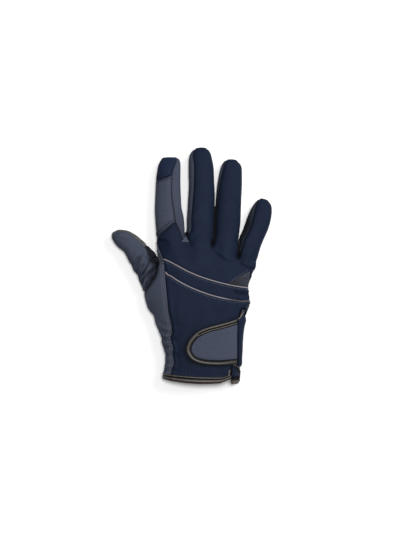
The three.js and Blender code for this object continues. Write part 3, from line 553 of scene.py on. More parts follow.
# A finger's middle lies at this share of its thickness, or of half its section's where that is more,
# and rises where it leaves the palm.
FINGER_LEVEL, LEAST_LEVEL = 0.47, 0.9
FOOT_RISE, FOOT_RUN = 0.08, 2.2
for number, finger in enumerate(FINGERS):
    palm_start = BACK + 2 + 4 * (3 - number)
    base = [hand[0][4 * number + step] for step in range(5)]
    base.append(crests[number] if number < 3 else hand[0][BACK + 1])
    base += [hand[0][palm_start + step] for step in range(5)]
    base.append(crests[number - 1] if number > 0 else hand[0][COLUMNS - 1])
    sections = []
    for section in SECTIONS[finger["name"]]:
        half = section["thick"] * finger["thick"] / 2
        settle = max(0.0, 1 - FOOT_RUN * section["alongR"])
        rise = max(half * LEAST_LEVEL, finger["thick"] * FINGER_LEVEL) + settle * FOOT_RISE * PALM_THICK
        sections.append({**section, "half": half, "z": rise})

    def finger_panel(step, side, number=number):
        if side < 4:
            if number > 0 or step < PATCH_SECTIONS[0]:
                return "back_finger_panel"
            return "index_patch" if step < PATCH_SECTIONS[1] else "index_tip"
        if side < 6 and number < 3:
            return FORKS[number]
        if side == 4:
            return "back_finger_panel"
        if side > 9 and number > 0:
            return FORKS[number - 1]
        return "palm_panel"

    foot_x = mix(web_x[number], web_x[number + 1], finger["foot"])
    place = placer(foot_x, finger["footY"] * REACH, finger)
    add_tube(finger["name"], base, sections, place, finger_panel)

first, last = THUMB_ROWS


def opening(column):
    """An edge of the thumb's opening in the hand, from its lower end up."""
    return [hand[first + step][column] for step in (4, 3, 2, 1, 0)]


thumb_base = [
    *opening(SEAM_UPPER),
    hand[first][SEAM_LOWER + 1],
    *reversed(opening(SEAM_LOWER)),
    hand[last][SEAM_LOWER + 1],
]
GUSSET_SECTIONS = 5


def thumb_panel(step, side):
    if side in (4, 5):
        return "thumb_gusset" if step < GUSSET_SECTIONS else "thumb_front"
    return "thumb_back" if side < 4 or side > 9 else "thumb_front"


THUMB_LEVEL, THUMB_SEAM_DEG = 0.49, 172
THUMB_FOOT_INSET, THUMB_FOOT_Y = 2.4, 0.475
thumb_level = {"seamL": THUMB_SEAM_DEG, "z": THUMB["thick"] * THUMB_LEVEL}
thumb_sections = [{**s, "half": s["thick"] * THUMB["thick"] / 2, **thumb_level} for s in THUMB_SECTIONS]
thumb_foot_x = hand_row(THUMB_ROWS[0] + 2)["left"][0] + THUMB_FOOT_INSET
thumb_place = placer(thumb_foot_x, THUMB_FOOT_Y * REACH, THUMB)
add_tube("thumb", thumb_base, thumb_sections, thumb_place, thumb_panel)


# ---------------------------------------------------------------- subdivision of the cage
def gather(index, values, count):
    """The sum of the values that go to each index."""
    sums = [np.bincount(index, weights=values[:, axis], minlength=count) for axis in range(values.shape[1])]
    return np.stack(sums, axis=1)


def edges_of(quads_, points_count):
    """The four edges of each quad, and for each a number that only the same edge of another quad has."""
    sides = np.stack([quads_, np.roll(quads_, -1, axis=1)], axis=2).reshape(-1, 2)
    return sides, sides.min(axis=1) * points_count + sides.max(axis=1)


def quarters(corners, middles, centres):
    """Each quad cut into four, each with one corner, the middles of its edges and the centre."""
    cut = [np.stack([corners[:, k], middles[:, k], centres, middles[:, k - 1]], axis=1) for k in range(4)]
    return np.stack(cut, axis=1).reshape(-1, 4, *corners.shape[2:])


class Level:
    """One round of subdivision on quads, which can run on any places of the points."""

    def __init__(self, count, faces):
        self.count = count
        self.faces = faces
        _, side_keys = edges_of(faces, count)
        keys, self.side_edge, uses = np.unique(side_keys, return_inverse=True, return_counts=True)
        self.ends = np.stack([keys // count, keys % count], axis=1)
        self.border = uses == 1
        self.faces_at = np.bincount(faces.ravel(), minlength=count)[:, None]
        self.edges_at = np.bincount(self.ends.ravel(), minlength=count)[:, None]
        self.on_border = np.bincount(self.ends[self.border].ravel(), minlength=count)[:, None] > 0
        edge_ids = count + self.side_edge.reshape(-1, 4)
        centre_ids = count + len(keys) + np.arange(len(faces))
        self.finer = quarters(faces, edge_ids, centre_ids)
        self.finer_count = count + len(keys) + len(faces)

    def refine(self, points):
        centres = points[self.faces].mean(axis=1)
        middles = points[self.ends].mean(axis=1)
        beside = gather(self.side_edge, np.repeat(centres, 4, axis=0), len(self.ends))
        edge_points = np.where(self.border[:, None], middles, (2 * middles + beside) / 4)
        centre_mean = gather(self.faces.ravel(), np.repeat(centres, 4, axis=0), self.count) / self.faces_at
        middle_mean = gather(self.ends.ravel(), np.repeat(middles, 2, axis=0), self.count) / self.edges_at
        inside = (centre_mean + 2 * middle_mean + (self.faces_at - 3) * points) / self.faces_at
        ends = self.ends[self.border]
        border_sum = gather(ends.ravel(), np.repeat(middles[self.border], 2, axis=0), self.count)
        vertex_points = np.where(self.on_border, (2 * points + border_sum) / 4, inside)
        return np.concatenate([vertex_points, edge_points, centres])


ROUNDS = 3
FINE = 2**ROUNDS
target = np.array(cage)
faces = np.array([corners for _, _, corners, _ in quads])
places = np.array([spots for _, _, _, spots in quads], dtype=float)
levels = []
count = len(target)
for _ in range(ROUNDS):
    levels.append(Level(count, faces))
    faces, count = levels[-1].finer, levels[-1].finer_count
    places = quarters(places, (places + np.roll(places, -1, axis=1)) / 2, places.mean(axis=1))
panel_of_face = np.repeat(np.array([quad[0] for quad in quads]), 4**ROUNDS)
part_of_face = np.repeat(np.array([quad[1] for quad in quads]), 4**ROUNDS)


def refine_all(points):
    for level in levels:
        points = level.refine(points)
    return points


# The cage moves until the smooth skin passes through the sections' points.
SETTLE_ROUNDS = 9
moved = target.copy()
for _ in range(SETTLE_ROUNDS):
    moved += target - refine_all(moved)[: len(target)]
skin = refine_all(moved)
skin[:, 2] = np.maximum(0.0, skin[:, 2])


def near_spot(spot):
    """How near the skin's points lie to a spot in plan: 1 at it, and nothing well beyond its spread."""
    off = (skin[:, :2] - (spot["x"], spot["y"])) / (spot["spreadX"], spot["spreadY"])
    return np.exp(-(off**2).sum(axis=1))


# On the thumb's side the piping turns up towards the thumb: where, how wide, and how far the cloth
# is drawn up towards the fingertips. The thumb itself stays, and so does the palm.
DRAWN_UP = table("x y spreadX spreadY rise", [-32.0, 33.0, 20.0, 14.0, 2.1], [-37.5, 27.0, 2.6, 5.5, 4.4])
THUMB_BEGINS_X = -46.0
on_top = ramp(skin[:, 2], 9.0, 13.0) * (skin[:, 0] > THUMB_BEGINS_X)
for bend in DRAWN_UP:
    skin[:, 1] += bend["rise"] * near_spot(bend) * on_top
# Small hollows along the outline: where, how wide and how far sideways
DRAWN_IN = table(
    "x y spreadX spreadY move",
    [-58.6, 9.8, 3.5, 2.6, 1.7],
    [-40.5, -39.0, 6.0, 5.0, 1.2],
    [-36.5, -62.0, 6.0, 10.0, 0.9],
    [54.0, 37.5, 5.0, 3.0, -0.9],
    [52.0, 27.0, 5.0, 3.0, -1.5],
)
for bend in DRAWN_IN:
    skin[:, 0] += bend["move"] * near_spot(bend)


def unit(vectors):
    return vectors / np.maximum(1e-9, np.linalg.norm(vectors, axis=-1, keepdims=True))


def normals_of(points, quads_):
    cross = np.cross(points[quads_[:, 2]] - points[quads_[:, 0]], points[quads_[:, 3]] - points[quads_[:, 1]])
    return unit(gather(quads_.ravel(), np.repeat(cross, 4, axis=0), len(points)))


skin_normals = normals_of(skin, faces)

# ---------------------------------------------------------------- seams, folds and puckers
_, side_keys = edges_of(faces, count)
side_faces = np.repeat(np.arange(len(faces)), 4)
order = np.argsort(side_keys, kind="stable")
sorted_keys, sorted_faces = side_keys[order], side_faces[order]
paired = np.flatnonzero(sorted_keys[1:] == sorted_keys[:-1])
one, two = panel_of_face[sorted_faces[paired]], panel_of_face[sorted_faces[paired + 1]]
seam_mask = one != two
seam_keys = sorted_keys[paired][seam_mask]
seam_ends = np.stack([seam_keys // count, seam_keys % count], axis=1)
seam_panels = np.stack([one[seam_mask], two[seam_mask]], axis=1)


def touches(*names):
    """Whether each seam edge lies on one of the panels."""
    return np.isin(seam_panels, names).any(axis=1)


def both(first_name, second_name):
    """Whether each seam edge lies between the two panels."""
    return touches(first_name) & touches(second_name)


def distances(ends, far=30.0):
    """How far each point of the skin lies from the seam edges between the given ends."""
    steps = np.array([0.0, 1 / 3, 2 / 3])[:, None, None]
    samples = mix(skin[ends[:, 0]], skin[ends[:, 1]], steps).reshape(-1, 3)
    tree = KDTree(len(samples))
    for number, sample in enumerate(samples):
        tree.insert(sample, number)
    tree.balance()
    return np.array([min(far, tree.find(point)[2]) for point in skin])


piped = both("back_finger_panel", "back_band") | both("back_band", "back_wrist_panel")
facing = touches("vent_facing", "hem")
seam_distance = distances(seam_ends[~piped & ~facing])
piping_distance = distances(seam_ends[piped])

# A seam is a narrow groove, the cloth swells away from it, and the piping lies in a bed.
SEAM_DEPTH, SEAM_SPREAD = 0.7, 0.95
SWELL, SWELL_SPREAD = 0.3, 4.0
BED_DEPTH, BED_SPREAD = 0.35, 1.9
lift = SWELL * (1 - bell(seam_distance, SWELL_SPREAD))
lift -= SEAM_DEPTH * bell(seam_distance, SEAM_SPREAD, 1.4)
lift -= BED_DEPTH * bell(piping_distance, BED_SPREAD)
up_facing = ramp(skin_normals[:, 2], 0.0, 0.5)
side_facing = ramp(np.hypot(skin_normals[:, 0], skin_normals[:, 1]), 0.375, 1.0)


def distance_to(line):
    """How far each point of the skin lies from a line in plan."""
    away = np.full(len(skin), np.inf)
    for start, end in zip(np.array(line[:-1]), np.array(line[1:])):
        run = end - start
        off = skin[:, :2] - start
        t = np.clip(off @ run / (run @ run), 0, 1)
        away = np.minimum(away, np.linalg.norm(off - t[:, None] * run, axis=1))
    return away


def points_of(panel, part=None):
    """The numbers of the skin's points on a panel, or on its share of one part."""
    chosen = panel_of_face == panel
    return np.unique(faces[chosen if part is None else chosen & (part_of_face == part)])


# Folds of the cloth on the upper side: a line in plan, how wide it is, how high (or deep), and how
# much painted shade darkens the cloth in it.
FOLDS = [
    # below the webs
    ([(12.8, 51.5), (19.0, 46.5), (25.0, 42.0), (31.0, 38.5)], 1.5, 0.75, 0.0),
    ([(12.0, 48.6), (18.0, 43.4), (24.0, 39.0), (29.0, 36.2)], 1.8, -0.3, 0.0),
    ([(38.6, 45.5), (38.0, 41.5)], 1.9, -1.5, 0.5),
    ([(12.4, 58.0), (12.2, 53.0)], 1.7, -1.2, 0.5),
    ([(-13.4, 66.0), (-11.4, 59.0)], 1.0, -0.7, 0.7),
    ([(-12.5, 60.0), (-9.0, 54.0)], 1.2, -0.55, 0.35),
    ([(-22.0, 58.0), (-15.0, 57.0), (-10.5, 58.5)], 1.0, 0.35, 0.0),
    # beside the little finger
    ([(38.0, 39.0), (44.0, 35.0), (52.0, 32.5)], 1.5, 0.45, 0.0),
    ([(40.0, 36.5), (46.0, 32.5), (55.0, 29.5)], 1.3, -0.8, 0.3),
    ([(47.0, 37.5), (56.5, 35.5)], 1.3, 0.5, 0.0),
    ([(44.0, 29.5), (52.5, 26.5)], 1.2, 0.4, 0.0),
    # on the band's end
    ([(35.0, 7.2), (41.0, 5.8), (49.5, 5.4)], 1.2, -1.6, 0.8),
    ([(37.0, 10.0), (43.0, 8.6), (49.5, 8.0)], 1.3, 1.0, 0.0),
    ([(38.0, 3.8), (49.5, 2.6)], 1.0, 0.5, 0.0),
    ([(36.5, 2.6), (43.5, -0.6), (49.0, -4.0)], 1.2, 0.9, 0.0),
    ([(38.0, -1.6), (44.0, -3.4), (48.0, -6.0)], 1.5, -0.5, 0.15),
    # the thumb's root
    ([(-50.0, 41.0), (-47.0, 38.5), (-43.0, 36.0)], 3.2, -1.2, 0.65),
    (
        [(-43.6, 37.0), (-43.4, 28.0), (-45.6, 22.0), (-50.5, 14.8), (-54.0, 11.4), (-58.5, 8.8)],
        1.7, -1.3, 0.85,
    ),
    ([(-46.0, 36.0), (-46.2, 28.0), (-48.4, 22.0)], 3.4, 0.0, 0.45),
    ([(-49.9, 37.7), (-53.5, 32.0), (-57.5, 25.5)], 1.4, -1.5, 0.6),
    ([(-44.5, 33.0), (-49.0, 28.8), (-52.6, 25.6), (-58.2, 17.0)], 1.4, -1.7, 0.68),
    ([(-48.0, 33.6), (-52.5, 29.2), (-57.2, 22.0)], 1.3, 1.2, 0.0),
    ([(-45.0, 27.5), (-50.0, 22.0), (-53.0, 18.2)], 1.4, 1.2, 0.0),
    ([(-47.6, 22.6), (-52.5, 17.0), (-54.2, 14.8)], 1.3, -1.1, 0.6),
    ([(-53.0, 40.0), (-57.0, 32.0), (-60.0, 26.0)], 1.7, 1.0, 0.0),
    ([(-56.0, 46.0), (-60.0, 38.0), (-61.5, 30.0)], 2.6, 0.6, 0.0),
    ([(-61.0, 41.0), (-63.5, 34.0)], 2.2, -0.8, 0.2),
    ([(-57.0, 34.0), (-61.0, 25.5)], 1.7, -1.1, 0.35),
    ([(-67.5, 34.0), (-62.0, 41.5)], 1.4, -0.7, 0.3),
    ([(-64.0, 27.5), (-59.5, 34.0)], 1.1, -1.0, 0.4),
    ([(-61.5, 21.5), (-57.5, 27.0)], 1.0, -1.0, 0.4),
    ([(-59.8, 14.5), (-55.8, 21.5)], 1.0, -1.0, 0.4),
    # the thumb's tip
    ([(-84.0, 67.0), (-87.5, 63.0), (-87.5, 58.0)], 1.8, -0.35, 0.05),
    ([(-83.0, 65.5), (-76.0, 68.0)], 2.0, -0.3, 0.15),
    ([(-82.0, 61.0), (-74.0, 60.0)], 1.6, -0.3, 0.1),
]
fold_shade = np.ones(len(skin))
for line, width, height, dark in FOLDS:
    near_fold = bell(distance_to(line), width) * up_facing
    lift += height * near_fold
    fold_shade *= 1 - dark * near_fold

# Small hollows along the outline: where, how wide and how deep
SIDE_HOLLOWS = table(
    "x y radius depth",
    [-77.0, 46.0, 6.0, 1.2],
    [-68.0, 30.0, 1.7, 0.6],
    [-62.0, 21.5, 4.5, 1.4],
    [-48.5, -17.0, 5.5, 1.8],
    [48.5, 0.5, 1.8, 0.6],
)
x, y, z = skin.T
for spot in SIDE_HOLLOWS:
    lift -= spot["depth"] * bell(np.hypot(x - spot["x"], y - spot["y"]), spot["radius"]) * side_facing

# Elastic gathers the cloth beside the wrist's seam on the thumb's side.
GATHER_X, GATHER_SPREAD = -34.0, 7.5
GATHER_PITCH, FINE_GATHER_PITCH = 7.6, 3.3
near_gather = bell(x - GATHER_X, GATHER_SPREAD) * ramp(y, -82, -74) * ramp(y, -20, -28)
wave = np.sin(2 * np.pi * (y + 0.25 * x + 1.2 * np.sin(x / 3.1)) / GATHER_PITCH)
fine_wave = np.sin(2 * np.pi * (y - 0.4 * x) / FINE_GATHER_PITCH + 1.7 * np.sin(x / 2.3))
# Painted shade darkens the gathers' valleys.
GATHER_DEPTH, FINE_GATHER_DEPTH, GATHER_SHADE = 0.85, 0.3, 0.26
lift += near_gather * up_facing * (GATHER_DEPTH * wave + FINE_GATHER_DEPTH * fine_wave)
fold_shade *= 1 - GATHER_SHADE * near_gather * up_facing * np.clip(-wave, 0, 1)
# Below the strap the back is gathered in short upright pleats.
PLEAT_Y, PLEAT_SPREAD = -70.5, 3.4
PLEAT_PITCH, PLEAT_DEPTH = 3.4, 0.11
near_pleats = bell(y - PLEAT_Y, PLEAT_SPREAD) * ramp(x, -26, -18) * ramp(x, 30, 24)
pleats = np.sin(2 * np.pi * x / PLEAT_PITCH + 1.4 * np.sin(x / 5.0) + 0.3 * y)
lift += PLEAT_DEPTH * near_pleats * up_facing * pleats

# The cloth is never quite even.
UNEVEN = 0.12
across, along = np.sin(x / 6.1 + 1.3 * np.sin(y / 9.3)), np.sin(y / 7.7 + 0.9 * np.sin(x / 8.9 + z / 5.0))
lift += UNEVEN * across * along

# The middle and ring fingers lean on each other low down.
LEAN, LEAN_Z, LEAN_SPREAD = 1.5, 4.5, 3.4
leaning = points_of("fourchette_middle_ring")
near_touch = bell(z - LEAN_Z, LEAN_SPREAD) * ramp(y, 57, 62) * ramp(y, 95, 88)
lift[leaning] += LEAN * near_touch[leaning]

outer = skin + skin_normals * lift[:, None]
outer[:, 2] = np.maximum(0.0, outer[:, 2])
outer_normals = normals_of(outer, faces)

# Painted shade on the cloth: in its seams and folds and beside the piping
SEAM_SHADE, SEAM_SHADE_SPREAD = 0.4, 0.7
BED_SHADE, BED_SHADE_SPREAD = 0.45, 1.25
shade = (1 - SEAM_SHADE * bell(seam_distance, SEAM_SHADE_SPREAD)) * fold_shade
shade *= 1 - BED_SHADE * bell(piping_distance, BED_SHADE_SPREAD)
# Painted shade: cloth that faces the thumb's side, away from the light, is made a little darker than cloth
# that faces the light, least on the palm.
LIGHT_SIDE = np.array([0.85, 0.25, 0.0])
SIDE_SHADE, PALM_SIDE_SHADE = 0.4, 0.1
turned_left = np.clip(-(outer_normals @ LIGHT_SIDE), 0, 1)
side_shade = np.full(len(skin), SIDE_SHADE)
side_shade[points_of("palm_panel", "hand")] = PALM_SIDE_SHADE
shade *= 1 - side_shade * turned_left**0.8
INDEX_TIP_PALER = 1.3
shade[points_of("index_tip")] *= INDEX_TIP_PALER
# Painted shade darkens the web between the index and middle fingers in its gap.
GAP_X, GAP_Y, GAP_ACROSS, GAP_ALONG = -13.4, 65.2, 2.2, 3.6
GAP_SHADE = 0.8
gap = points_of("fourchette_index_middle")
from_gap = np.hypot((x[gap] - GAP_X) / GAP_ACROSS, (y[gap] - GAP_Y) / GAP_ALONG)
shade[gap] *= 1 - GAP_SHADE * bell(from_gap, 1.0)
# Deep between the fingers the cloth is in shade: how much, and from which height down
FORK_SHADE_RUN = 35.0
FORK_SHADE = {
    "fourchette_index_middle": (0.3, 95.0),
    "fourchette_middle_ring": (0.79, 128.0),
    "fourchette_ring_little": (0.8, 112.0),
}
for fork, (depth, top) in FORK_SHADE.items():
    ids = points_of(fork)
    shade[ids] *= 1 - depth * ramp(y[ids], top, top - FORK_SHADE_RUN)
# Other places on the upper side that lie in shade: where, how wide and how much darker
SHADED = table(
    "x y radius depth",
    [-46.0, -7.0, 8.0, 0.2],
    [-33.0, -73.0, 7.0, 0.12],
    [-32.0, -48.0, 8.0, 0.14],
    [-42.5, 38.0, 4.0, 0.45],
    [38.5, 44.0, 4.5, 0.35],
    [12.5, 57.0, 3.5, 0.3],
    [-13.3, 65.6, 1.9, 0.8],
    [32.3, -72.0, 1.4, 0.6],
    [32.3, -76.5, 1.4, 0.6],
    [-37.0, 42.0, 3.0, 0.3],
    [-14.5, -47.0, 6.0, 0.3],
    [-9.0, -61.0, 5.0, 0.25],
    [0.0, -36.0, 5.0, 0.15],
    [20.0, -68.5, 5.0, 0.15],
)
for spot in SHADED:
    near = bell(np.hypot(x - spot["x"], y - spot["y"]), spot["radius"])
    shade *= 1 - spot["depth"] * near * up_facing

skin_tree = BVHTree.FromPolygons(*([tuple(row) for row in rows.tolist()] for rows in (outer, faces)))


# ---------------------------------------------------------------- looking up places on the skin
class Patch:
    """A part of the skin as a surface over its rows and columns."""

    def __init__(self, part, rows, columns, wraps=True):
        chosen = part_of_face == part
        spots = places[chosen]
        low = spots.min(axis=1)
        cell = np.rint(low * FINE).astype(int)
        offset = np.rint((spots - low[:, None]) * FINE).astype(int)
        self.rows, self.columns, self.wraps = rows * FINE, columns * FINE, wraps
        self.ids = np.zeros((self.rows, self.columns, 2, 2), dtype=int)
        corner = faces[chosen]
        for k in range(4):
            self.ids[cell[:, 0], cell[:, 1], offset[:, k, 0], offset[:, k, 1]] = corner[:, k]

    def at(self, surface, row, column):
        row, column = np.broadcast_arrays(np.asarray(row, float), np.asarray(column, float))
        i = np.clip(np.floor(row * FINE).astype(int), 0, self.rows - 1)
        j = np.floor(column * FINE - 1e-6).astype(int)
        j = np.maximum(j, np.floor(column * FINE).astype(int).min())
        u = (row * FINE - i)[..., None]
        v = (column * FINE - j)[..., None]
        j = j % self.columns if self.wraps else np.clip(j, 0, self.columns - 1)
        ids = self.ids[i, j]
        near = mix(surface[ids[..., 0, 0]], surface[ids[..., 0, 1]], v)
        far = mix(surface[ids[..., 1, 0]], surface[ids[..., 1, 1]], v)
        return mix(near, far, u)

    def line(self, rows, columns, steps):
        """Places on the dressed skin, in even steps between two rows and between two columns."""
        return self.at(outer, np.linspace(*rows, steps), np.linspace(*columns, steps))


hand_patch = Patch("hand", len(HAND) - 1, COLUMNS)
index_patch = Patch("index", len(SECTIONS["index"]), RING_SIDES)
little_patch = Patch("little", len(SECTIONS["little"]), RING_SIDES)
thumb_patch = Patch("thumb", len(THUMB_SECTIONS), RING_SIDES)


def on_skin(points):
    """The nearest places on the skin, and the skin's direction there."""
    found = [skin_tree.find_nearest(Vector(point)) for point in points]
    return np.array([f[0] for f in found]), np.array([f[1] for f in found])


ABOVE_GLOVE = 60.0


def skin_height(px, py):
    """The height of the dressed skin's upper side, or None beside the glove."""
    hit = skin_tree.ray_cast(Vector((px, py, ABOVE_GLOVE)), Vector((0, 0, -1)))
    return hit[0].z if hit[0] else None


def resample(points, spacing):
    """A line's points again, at even distances close to the spacing."""
    points = np.asarray(points, dtype=float)
    lengths = np.concatenate([[0], np.cumsum(np.linalg.norm(np.diff(points, axis=0), axis=1))])
    steps = max(2, int(round(lengths[-1] / spacing)) + 1)
    wanted = np.linspace(0, lengths[-1], steps)
    return np.stack([np.interp(wanted, lengths, points[:, axis]) for axis in range(points.shape[1])], axis=1)


def spline(points, fine=12):
    """A smooth line through points."""
    points = np.asarray(points, dtype=float)
    padded = np.vstack([2 * points[0] - points[1], points, 2 * points[-1] - points[-2]])
    line = []
    for a, b, c, d in zip(padded, padded[1:], padded[2:], padded[3:]):
        for t in np.linspace(0, 1, fine, endpoint=False):
            square, cube = 2 * a - 5 * b + 4 * c - d, 3 * b - a - 3 * c + d
            line.append(0.5 * (2 * b + (c - a) * t + square * t**2 + cube * t**3))
    line.append(points[-1])
    return np.array(line)


def tangents_of(points):
    return unit(np.gradient(points, axis=0))


# The strap's outline in plan, and its shade on the cloth beside it
strap_size = np.array([-STRAP_LENGTH, STRAP_WIDTH])
outline = resample(spline(np.array(STRAP_OUTLINE) * strap_size + (STRAP_ROOT_X, STRAP_ROOT_Y)), 0.7)
STRAP_SHADE, STRAP_SHADE_SPREAD = 0.62, 2.4
shade *= 1 - STRAP_SHADE * bell(distance_to(outline), STRAP_SHADE_SPREAD, 1.5) * up_facing


# ---------------------------------------------------------------- materials
def wire(tree, node, inputs):
    """Sets each named input of a node to a value, or links it to the output that is given."""
    for key, value in inputs.items():
        if isinstance(value, bpy.types.NodeSocket):
            tree.links.new(value, node.inputs[key])
        else:
            node.inputs[key].default_value = value
    return node


def new_material(name):
    material = bpy.data.materials.new(name)
    material.use_nodes = True
    return material, material.node_tree, material.node_tree.nodes["Principled BSDF"]


def cloth_material(name, colour, roughness, sheen, patchy, patch_size, grain, grain_size, weave, gloss):
    """Cloth or leather: uneven colour, a fine grain and, where asked, a weave. Sizes are in millimetres."""
    material, tree, shader = new_material(name)

    def node(kind, inputs, **settings):
        made = tree.nodes.new("ShaderNode" + kind)
        for key, value in settings.items():
            setattr(made, key, value)
        return wire(tree, made, inputs)

    where = node("TexCoord", {}).outputs["Object"]
    patches = node("TexNoise", {"Vector": where, "Scale": 1000 / patch_size, "Detail": 4})
    span = {"From Min": 0.3, "From Max": 0.7, "To Min": 1 - patchy, "To Max": 1 + patchy}
    uneven = node("MapRange", {"Value": patches.outputs["Fac"], **span})
    # The colour is scaled by each point's shade attribute, which holds painted shade, and painted light where
    # it is above one.
    shaded = node("Attribute", {}, attribute_name="shade")
    light = node("Math", {0: uneven.outputs["Result"], 1: shaded.outputs["Fac"]}, operation="MULTIPLY")
    tint = node("VectorMath", {0: colour, "Scale": light.outputs["Value"]}, operation="SCALE")
    fine = node("TexNoise", {"Vector": where, "Scale": 1000 / grain_size, "Detail": 3})
    bump = node("Bump", {"Strength": grain, "Distance": 0.15 * MM, "Height": fine.outputs["Fac"]})
    band = {"Vector": where, "Scale": 2 * math.pi / (20 * WEAVE_SIZE * MM), "Distortion": 0.4}
    for direction in "XY" if weave else "":
        bands = node("TexWave", band, bands_direction=direction)
        ribs = {"Strength": weave, "Distance": 0.08 * MM, "Height": bands.outputs["Fac"]}
        bump = node("Bump", {**ribs, "Normal": bump.outputs["Normal"]})
    wire(tree, shader, {"Roughness": roughness, "Specular IOR Level": gloss})
    wire(tree, shader, {"Sheen Weight": sheen, "Sheen Roughness": 0.45})
    wire(tree, shader, {"Base Color": tint.outputs["Vector"], "Normal": bump.outputs["Normal"]})
    return material


WEAVE_SIZE = 0.6
CLOTHS = table(
    "name colour roughness sheen patchy patch_size grain grain_size weave gloss",
    ["navy_softshell", (0.0062, 0.0111, 0.0262), 0.62, 0.02, 0.1, 9.0, 0.25, 0.5, 0.25, 0.06],
    ["blue_grey_suede", (0.045, 0.0525, 0.077), 0.95, 0.03, 0.1, 1.6, 0.8, 0.45, 0.0, 0.03],
    ["olive_grey_binding", (0.085, 0.078, 0.066), 0.4, 0.0, 0.3, 1.6, 0.7, 0.7, 0.0, 0.4],
    ["taupe_binding", (0.085, 0.074, 0.068), 0.42, 0.0, 0.35, 2.0, 0.7, 0.7, 0.0, 0.4],
    # the gusset's cloth is the navy softshell made darker: painted shade in the thumb's crotch
    ["dark_gusset", (0.0075, 0.008, 0.012), 0.62, 0.02, 0.15, 3.0, 0.3, 0.5, 0.25, 0.06],
    ["tan_end", (0.06, 0.042, 0.035), 0.5, 0.0, 0.3, 2.0, 0.7, 0.7, 0.0, 0.25],
    ["olive_welt", (0.048, 0.05, 0.042), 0.5, 0.0, 0.3, 1.6, 0.7, 0.7, 0.0, 0.25],
    ["brown_edge", (0.03, 0.017, 0.014), 0.5, 0.0, 0.3, 2.0, 0.7, 0.7, 0.0, 0.2],
    # black edging, and painted shade in the bindings' grooves and gaps
    ["black_groove", (0.004, 0.0035, 0.004), 0.8, 0.0, 0.2, 2.0, 0.4, 0.5, 0.0, 0.05],
    ["taupe_piping", (0.205, 0.185, 0.21), 0.42, 0.1, 0.12, 1.5, 0.3, 0.4, 0.5, 0.3],
    ["grey_satin", (0.021, 0.023, 0.031), 0.5, 0.0, 0.3, 1.6, 0.3, 0.5, 0.0, 0.08],
    ["grey_thread", (0.2, 0.2, 0.25), 0.55, 0.1, 0.2, 1.0, 0.3, 0.2, 0.0, 0.2],
    ["dim_thread", (0.07, 0.07, 0.09), 0.55, 0.1, 0.2, 1.0, 0.3, 0.2, 0.0, 0.2],
    ["black_thread", (0.006, 0.006, 0.01), 0.7, 0.0, 0.2, 1.0, 0.3, 0.2, 0.0, 0.05],
    ["dark_thread", (0.014, 0.012, 0.014), 0.55, 0.1, 0.2, 1.0, 0.3, 0.2, 0.0, 0.2],
)
cloths = {row["name"]: cloth_material(**row) for row in CLOTHS}


# ---------------------------------------------------------------- making pieces
def turned_out(points, polygons):
    """The polygons of a closed mesh, facing outwards."""
    volume = 0.0
    for polygon in polygons:
        a = points[polygon[0]]
        for k in range(1, len(polygon) - 1):
            volume += np.dot(a, np.cross(points[polygon[k]], points[polygon[k + 1]]))
    return polygons if volume > 0 else [tuple(reversed(polygon)) for polygon in polygons]


def piece(name, points, polygons, materials, slot, replaces=(), which=0, flat_from=None, shades=1.0):
    """A piece of the glove, with each polygon's place among the materials and the shade at each point."""
    mesh = bpy.data.meshes.new(name)
    points = np.array(points)
    points[:, 2] = np.maximum(0.0, points[:, 2])
    mesh.from_pydata((points * MM).tolist(), [], polygons)
    for material in materials:
        mesh.materials.append(cloths[material])
    smooth = np.ones(len(polygons), dtype=bool)
    if flat_from is not None:
        smooth[flat_from:] = False
    mesh.polygons.foreach_set("use_smooth", smooth)
    mesh.polygons.foreach_set("material_index", np.broadcast_to(which, len(polygons)).astype(np.int32))
    values = np.broadcast_to(shades, len(points)).astype(float)
    mesh.attributes.new("shade", "FLOAT", "POINT").data.foreach_set("value", values)
    mesh.update()
    body = bpy.data.objects.new(name, mesh)
    bpy.context.scene.collection.objects.link(body)
    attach(body, "root")
    if replaces:
        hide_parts(*replaces)


EDGE_INSET = 0.12
INSIDE_SHADE, INSIDE_LOWEST = 0.6, 0.02


def shell_piece(name, panel, material, slot, replaces):
    """A panel of the skin as a wall of cloth that stops just short of its seams."""
    ids, flat_index = np.unique(faces[panel_of_face == panel], return_inverse=True)
    local = flat_index.reshape(-1, 4)
    top = outer[ids].copy()
    sides, keys = edges_of(local, len(ids))
    _, where, uses = np.unique(keys, return_inverse=True, return_counts=True)
    single = uses[where] == 1
    border = sides[single]
    centres = top[local].mean(axis=1)[np.repeat(np.arange(len(local)), 4)[single]]
    pull = np.zeros_like(top)
    for end in (0, 1):
        np.add.at(pull, border[:, end], centres - top[border[:, end]])
    on_border = np.unique(border)
    top[on_border] += unit(pull[on_border]) * EDGE_INSET
    bottom = top - outer_normals[ids] * WALL
    bottom[:, 2] = np.maximum(INSIDE_LOWEST, bottom[:, 2])
    shift = len(ids)
    rim = np.stack([border[:, 1], border[:, 0], border[:, 0] + shift, border[:, 1] + shift], axis=1)
    polygons = np.vstack([local, local[:, ::-1] + shift, rim]).tolist()
    shades = np.concatenate([shade[ids], np.full(shift, INSIDE_SHADE)])
    points = np.vstack([top, bottom])
    piece(name, points, polygons, [material], slot, replaces, flat_from=2 * len(local), shades=shades)


